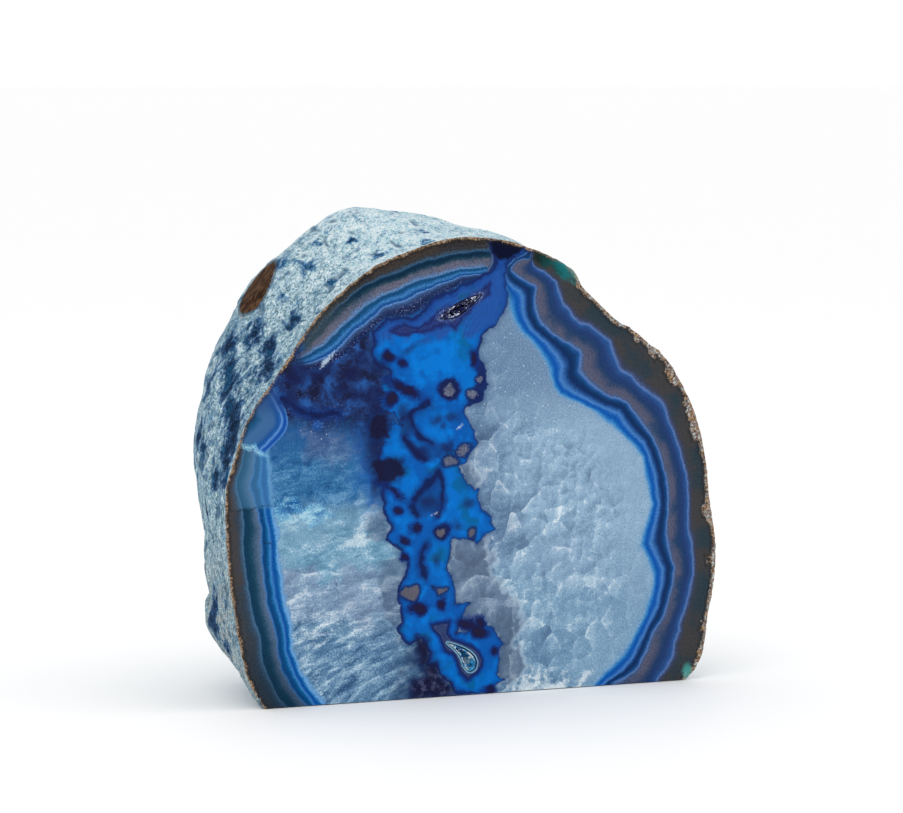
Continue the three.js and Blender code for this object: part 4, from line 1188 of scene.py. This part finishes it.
def stained_rind(colours):
    """The rough skin: grainy pale flakes, dye in the hollows, dark streaks and pits, and the brown scar."""
    f = Finish("stained_rind")
    long = f.stretched((1.0, 1.0, 1.7))
    grainy = f.noise(1.9, 4.0, long, 0.8)
    crisp = f.noise(2.6, 2.0, roughness=0.8) - 0.5
    middle = f.noise(0.7, 4.0, long, 0.7)
    tone = grainy * 0.68 + middle * 0.46 - 0.07
    pale_lit_top = f.shades(tone, (0.34, 96, 152, 184), (0.41, 162, 202, 216), (0.48, 200, 224, 232),
                     (0.56, 224, 238, 242), (0.66, 250, 252, 250))
    body = f.ramp(tone, [(0.34, rgba(44, 78, 106)), (0.43, rgba(102, 138, 156)),
                         (0.51, cover(colours.rind_shade)), (0.58, cover(colours.rind)),
                         (0.68, rgba(226, 232, 232))])
    flank = 1 - f.grade(f.across, -54.0, -44.0)
    warm = flank * (1 - f.grade(f.height + (middle - 0.5) * 60, 24.0, 44.0))
    body = f.mix(warm * f.grade(middle, 0.42, 0.6) * 0.6, body, rgba(164, 158, 142))
    # Paler top of the rind: partly the skin's own paler colour, partly painted light from above, stronger
    # towards the right.
    pale_lit_share = f.grade(f.across + (middle - 0.5) * 30, -38.0, -20.0) * 0.65 + 0.35
    body = f.mix(f.grade(f.height + (middle - 0.5) * 40, 80.0, 93.0) * pale_lit_share, body, pale_lit_top)
    smudge = f.noise(0.26, 5.0, f.warped(long, 0.4, 1.5), 0.65) + (grainy - 0.5) * 0.6
    body = f.mix(f.grade(smudge, 0.56, 0.7) * 0.6, body, cover(colours.stain_teal))
    speck = f.noise(0.85, 3.0, f.warped(f.place, 0.9, 0.8), 0.7) + crisp * 0.3
    body = f.mix(f.grade(speck, 0.63, 0.7) * 0.75, body, rgba(44, 116, 156))
    ragged = f.noise(0.6, 5.0, f.warped(long, 0.8, 1.0), 0.72)
    marks = f.field("stain") * 0.62 + ragged * 3.4 + crisp * 1.8 - 0.4
    dark = f.ramp(crisp + 0.5, [(0.3, rgba(4, 8, 24)), (0.46, cover(colours.stain_navy)),
                                (0.58, rgba(30, 78, 124)), (0.74, rgba(118, 156, 176))])
    body = f.mix(f.grade(marks, 1.56, 1.86) * 0.7, body, rgba(38, 92, 142))
    teal = f.shades(crisp + 0.5, (0.3, 6, 34, 60), (0.46, 14, 66, 112), (0.58, 38, 112, 164),
                    (0.74, 130, 182, 206))
    dark = f.mix(f.grade(f.height, 80.0, 90.0) * 0.8, dark, teal)
    body = f.mix(f.grade(marks, 1.8, 2.0) * 0.95, body, dark)
    body = f.mix(f.grade(marks, 2.1, 2.6) * 0.75, body, rgba(8, 16, 36))
    pits = f.grade(f.field("pits") + crisp * 1.6, 0.4, 0.95)
    body = f.mix(pits * 0.7, body, rgba(22, 78, 116))
    strokes = f.noise(0.75, 4.0, f.stretched((1.0, 1.0, 2.8)), 0.65) + crisp * 0.4
    body = f.mix(f.grade(strokes, 0.57, 0.65) * flank * 0.6, body, rgba(26, 56, 84))
    body = f.mix(0.9, body, crisp * 2.6 + 0.5, "OVERLAY")
    body = f.mix((1 - f.grade(crisp, -0.22, -0.06)) * 0.35, body, rgba(84, 124, 152))
    ring = f.field("scar") + (middle - 0.5) * 0.12
    streaks = f.noise(2.2, 3.0, f.stretched((1, 1, 7.0), math.radians(35)))
    scar = f.mix(f.grade(streaks, 0.42, 0.6), cover(colours.scar), rgba(100, 74, 54))
    body = f.mix(f.grade(ring, -0.16, -0.02) * 0.7, body, rgba(30, 44, 66))
    body = f.mix(f.grade(ring, 0.0, 0.08), body, scar)
    f.plug(f.shader.inputs["Base Color"], body)
    f.plug(f.shader.inputs["Roughness"], 0.62 + grainy * 0.3)
    f.plug(f.shader.inputs["Normal"], f.bump(tone + crisp * 0.3, 0.9, 0.8))
    f.shader.inputs["Specular IOR Level"].default_value = 0.04
    return f.material


def sawn_base(colours):
    """The sawn underside: dull bands along the rind, quartz inside them, the vein's foot, and saw marks."""
    f = Finish("sawn_base")
    cloud = f.noise(0.1, 4.0)
    grain = f.noise(1.6, 4.0, roughness=0.7) - 0.5
    number = f.field("right_bands") + grain * 0.08
    bands = f.shades(number, (0, 150, 138, 118), (0.1, 96, 92, 86), (0.3, 74, 80, 86),
                     (0.85, 80, 90, 104), (1.0, 112, 138, 176), (1.1, 66, 96, 142), (1.5, 62, 86, 120),
                     (1.85, 92, 104, 126), (2.0, 118, 150, 190), (2.2, 56, 96, 146), (2.6, 50, 86, 136),
                     (3.0, 104, 144, 190), (3.45, 44, 106, 172), (4.0, 118, 162, 202),
                     (4.4, 140, 168, 190), reach=5)
    inside = f.shades(cloud + grain * 0.3, (0.3, 112, 138, 164), (0.5, 146, 170, 190),
                      (0.7, 186, 202, 214))
    body = f.mix(f.grade(number, 4.0, 4.5), bands, inside)
    vein = f.field("vein") + grain * 2
    body = f.mix(f.grade(vein, -1.0, 0.2) * 0.9, body, cover(colours.outline))
    body = f.mix(f.grade(vein, 0.3, 1.6) * 0.85, body, cover(colours.vein))
    marks = f.noise(1.4, 2.0, f.stretched((0.4, 12.0, 1.0)))
    body = f.mix(f.grade(marks, 0.4, 0.6) * 0.2, body, rgba(196, 204, 210))
    f.plug(f.shader.inputs["Base Color"], body)
    f.plug(f.shader.inputs["Roughness"], 0.5 + marks * 0.2)
    f.plug(f.shader.inputs["Normal"], f.bump(marks, 0.1, 0.4))
    return f.material


def pocket_wall():
    """The bare stone of the pockets, seen only between the crystals."""
    f = Finish("pocket_wall")
    tone = f.noise(1.4, 4.0, roughness=0.7)
    stone = f.mix(f.grade(tone, 0.4, 0.62), rgba(24, 30, 76), rgba(88, 96, 140))
    f.plug(f.shader.inputs["Base Color"], stone)
    f.plug(f.shader.inputs["Roughness"], 0.3 + tone * 0.3)
    f.shader.inputs["Specular IOR Level"].default_value = 0.1
    return f.material


def crystal_finish(name, *shades):
    """Small, slightly see-through quartz crystals, each with a colour of its own."""
    f = Finish(name)
    tint = f.node("ShaderNodeSeparateColor", {}, {0: f.cells(1.5, output="Color")}, "Red")
    f.plug(f.shader.inputs["Base Color"], f.shades(tint * 0.8 + f.noise(2.2, 3.0) * 0.3, *shades))
    f.plug(f.shader.inputs["Roughness"], 0.1 + tint * 0.15)
    f.shader.inputs["Specular IOR Level"].default_value = 0.15
    f.shader.inputs["Transmission Weight"].default_value = 0.3
    f.shader.inputs["IOR"].default_value = 1.54
    return f.material


class GEODE_OT_stone(bpy.types.Operator):
    """Build the stone: its face, rind, scar and sawn base"""

    bl_idname = "geode.stone"
    bl_label = "Agate half"

    def execute(self, context):
        colours = context.scene.geode_colours
        finishes = (polished_face(colours), stained_rind(colours), sawn_base(colours), pocket_wall())
        piece = stone_piece(context.scene.geode_sizes, finishes)
        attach(piece, "root")
        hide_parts("geode_half")
        return {"FINISHED"}


class GEODE_OT_crystals(bpy.types.Operator):
    """Finish the crystals of the two pockets"""

    bl_idname = "geode.crystals"
    bl_label = "Pocket crystals"

    def execute(self, context):
        finishes = {
            "upper_pocket_crystals": crystal_finish(
                "violet_crystals", (0.0, 10, 12, 44), (0.45, 28, 32, 86), (0.66, 78, 88, 148),
                (0.82, 214, 222, 244)),
            "lower_pocket_crystals": crystal_finish(
                "blue_crystals", (0.0, 4, 40, 100), (0.25, 6, 102, 184), (0.5, 70, 182, 230),
                (0.8, 226, 245, 252)),
        }
        for name, finish in finishes.items():
            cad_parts[name].data.materials[0] = finish
        return {"FINISHED"}


class GEODE_OT_stage(bpy.types.Operator):
    """Set up the floor, the lights and the camera"""

    bl_idname = "geode.stage"
    bl_label = "Stage"

    def execute(self, context):
        settings = context.scene.geode_stage
        self.lay_floor(settings)
        self.hang_lights(context)
        self.stand_camera(context, settings)
        return {"FINISHED"}

    def lay_floor(self, settings):
        f = Finish("studio_floor")
        paper = f.mix(f.noise(0.002, 2.0) * 0.3, cover(settings.floor), rgba(255, 255, 255))
        f.plug(f.shader.inputs["Base Color"], paper)
        f.plug(f.shader.inputs["Roughness"], 0.6 + f.noise(0.01, 2.0) * 0.1)
        mesh = bpy.data.meshes.new("floor")
        half = 60.0
        mesh.from_pydata([(-half, -half, 0), (half, -half, 0), (half, half, 0), (-half, half, 0)], [],
                         [(0, 1, 2, 3)])
        mesh.materials.append(f.material)
        floor = bpy.data.objects.new("floor", mesh)
        floor.location.z = -0.0002
        bpy.context.collection.objects.link(floor)

    def hang_lights(self, context):
        world = bpy.data.worlds.new("studio")
        context.scene.world = world
        world.use_nodes = True
        background = world.node_tree.nodes["Background"]
        background.inputs["Color"].default_value = (1, 1, 1, 1)
        background.inputs["Strength"].default_value = 1.0
        for name, place, width, power in (("key", (-0.6, -0.7, 0.9), 0.6, 2.0),
                                          ("fill", (0.7, -0.3, 0.9), 0.6, 0.6)):
            lamp = bpy.data.lights.new(name, "AREA")
            lamp.size = width
            lamp.energy = power
            holder = bpy.data.objects.new(name, lamp)
            holder.location = place
            aim = Vector((0, 0, 0.05)) - holder.location
            holder.rotation_euler = aim.to_track_quat("-Z", "Y").to_euler()
            context.collection.objects.link(holder)
        context.scene.view_settings.view_transform = "Standard"

    def stand_camera(self, context, settings):
        shift = Solid().shift * MM
        target = Vector((CAMERA_TARGET[0] * MM + shift[0], shift[1], CAMERA_TARGET[1] * MM))
        turn, rise = settings.camera_turn, settings.camera_rise
        way = Vector((math.sin(turn) * math.cos(rise), math.cos(turn) * math.cos(rise), -math.sin(rise)))
        data = bpy.data.cameras.new("camera")
        data.lens = settings.lens
        data.sensor_fit = "HORIZONTAL"
        data.sensor_width = 36
        data.clip_end = 100
        camera = bpy.data.objects.new("camera", data)
        camera.location = target - way * settings.camera_reach
        camera.rotation_euler = way.to_track_quat("-Z", "Y").to_euler()
        context.collection.objects.link(camera)
        context.scene.camera = camera


class GEODE_PT_sidebar(bpy.types.Panel):
    """Lists the pieces of the geode half and their settings"""

    bl_idname = "GEODE_PT_sidebar"
    bl_label = "Geode half"
    bl_space_type = "VIEW_3D"
    bl_region_type = "UI"
    bl_category = "Geode half"

    def draw(self, context):
        for operator in (GEODE_OT_stone, GEODE_OT_crystals, GEODE_OT_stage):
            self.layout.operator(operator.bl_idname)
        for group in (context.scene.geode_sizes, context.scene.geode_colours, context.scene.geode_stage):
            box = self.layout.box()
            for name in group.bl_rna.properties.keys():
                if name not in ("rna_type", "name"):
                    box.prop(group, name)


CLASSES = (StoneSizes, StoneColours, StageSettings, GEODE_OT_stone, GEODE_OT_crystals, GEODE_OT_stage,
           GEODE_PT_sidebar)


def register():
    for piece in CLASSES:
        bpy.utils.register_class(piece)
    bpy.types.Scene.geode_sizes = PointerProperty(type=StoneSizes)
    bpy.types.Scene.geode_colours = PointerProperty(type=StoneColours)
    bpy.types.Scene.geode_stage = PointerProperty(type=StageSettings)


def unregister():
    del bpy.types.Scene.geode_stage
    del bpy.types.Scene.geode_colours
    del bpy.types.Scene.geode_sizes
    for piece in reversed(CLASSES):
        bpy.utils.unregister_class(piece)


def main():
    register()
    bpy.ops.geode.stone()
    bpy.ops.geode.crystals()
    bpy.ops.geode.stage()


if __name__ == "__main__":
    main()
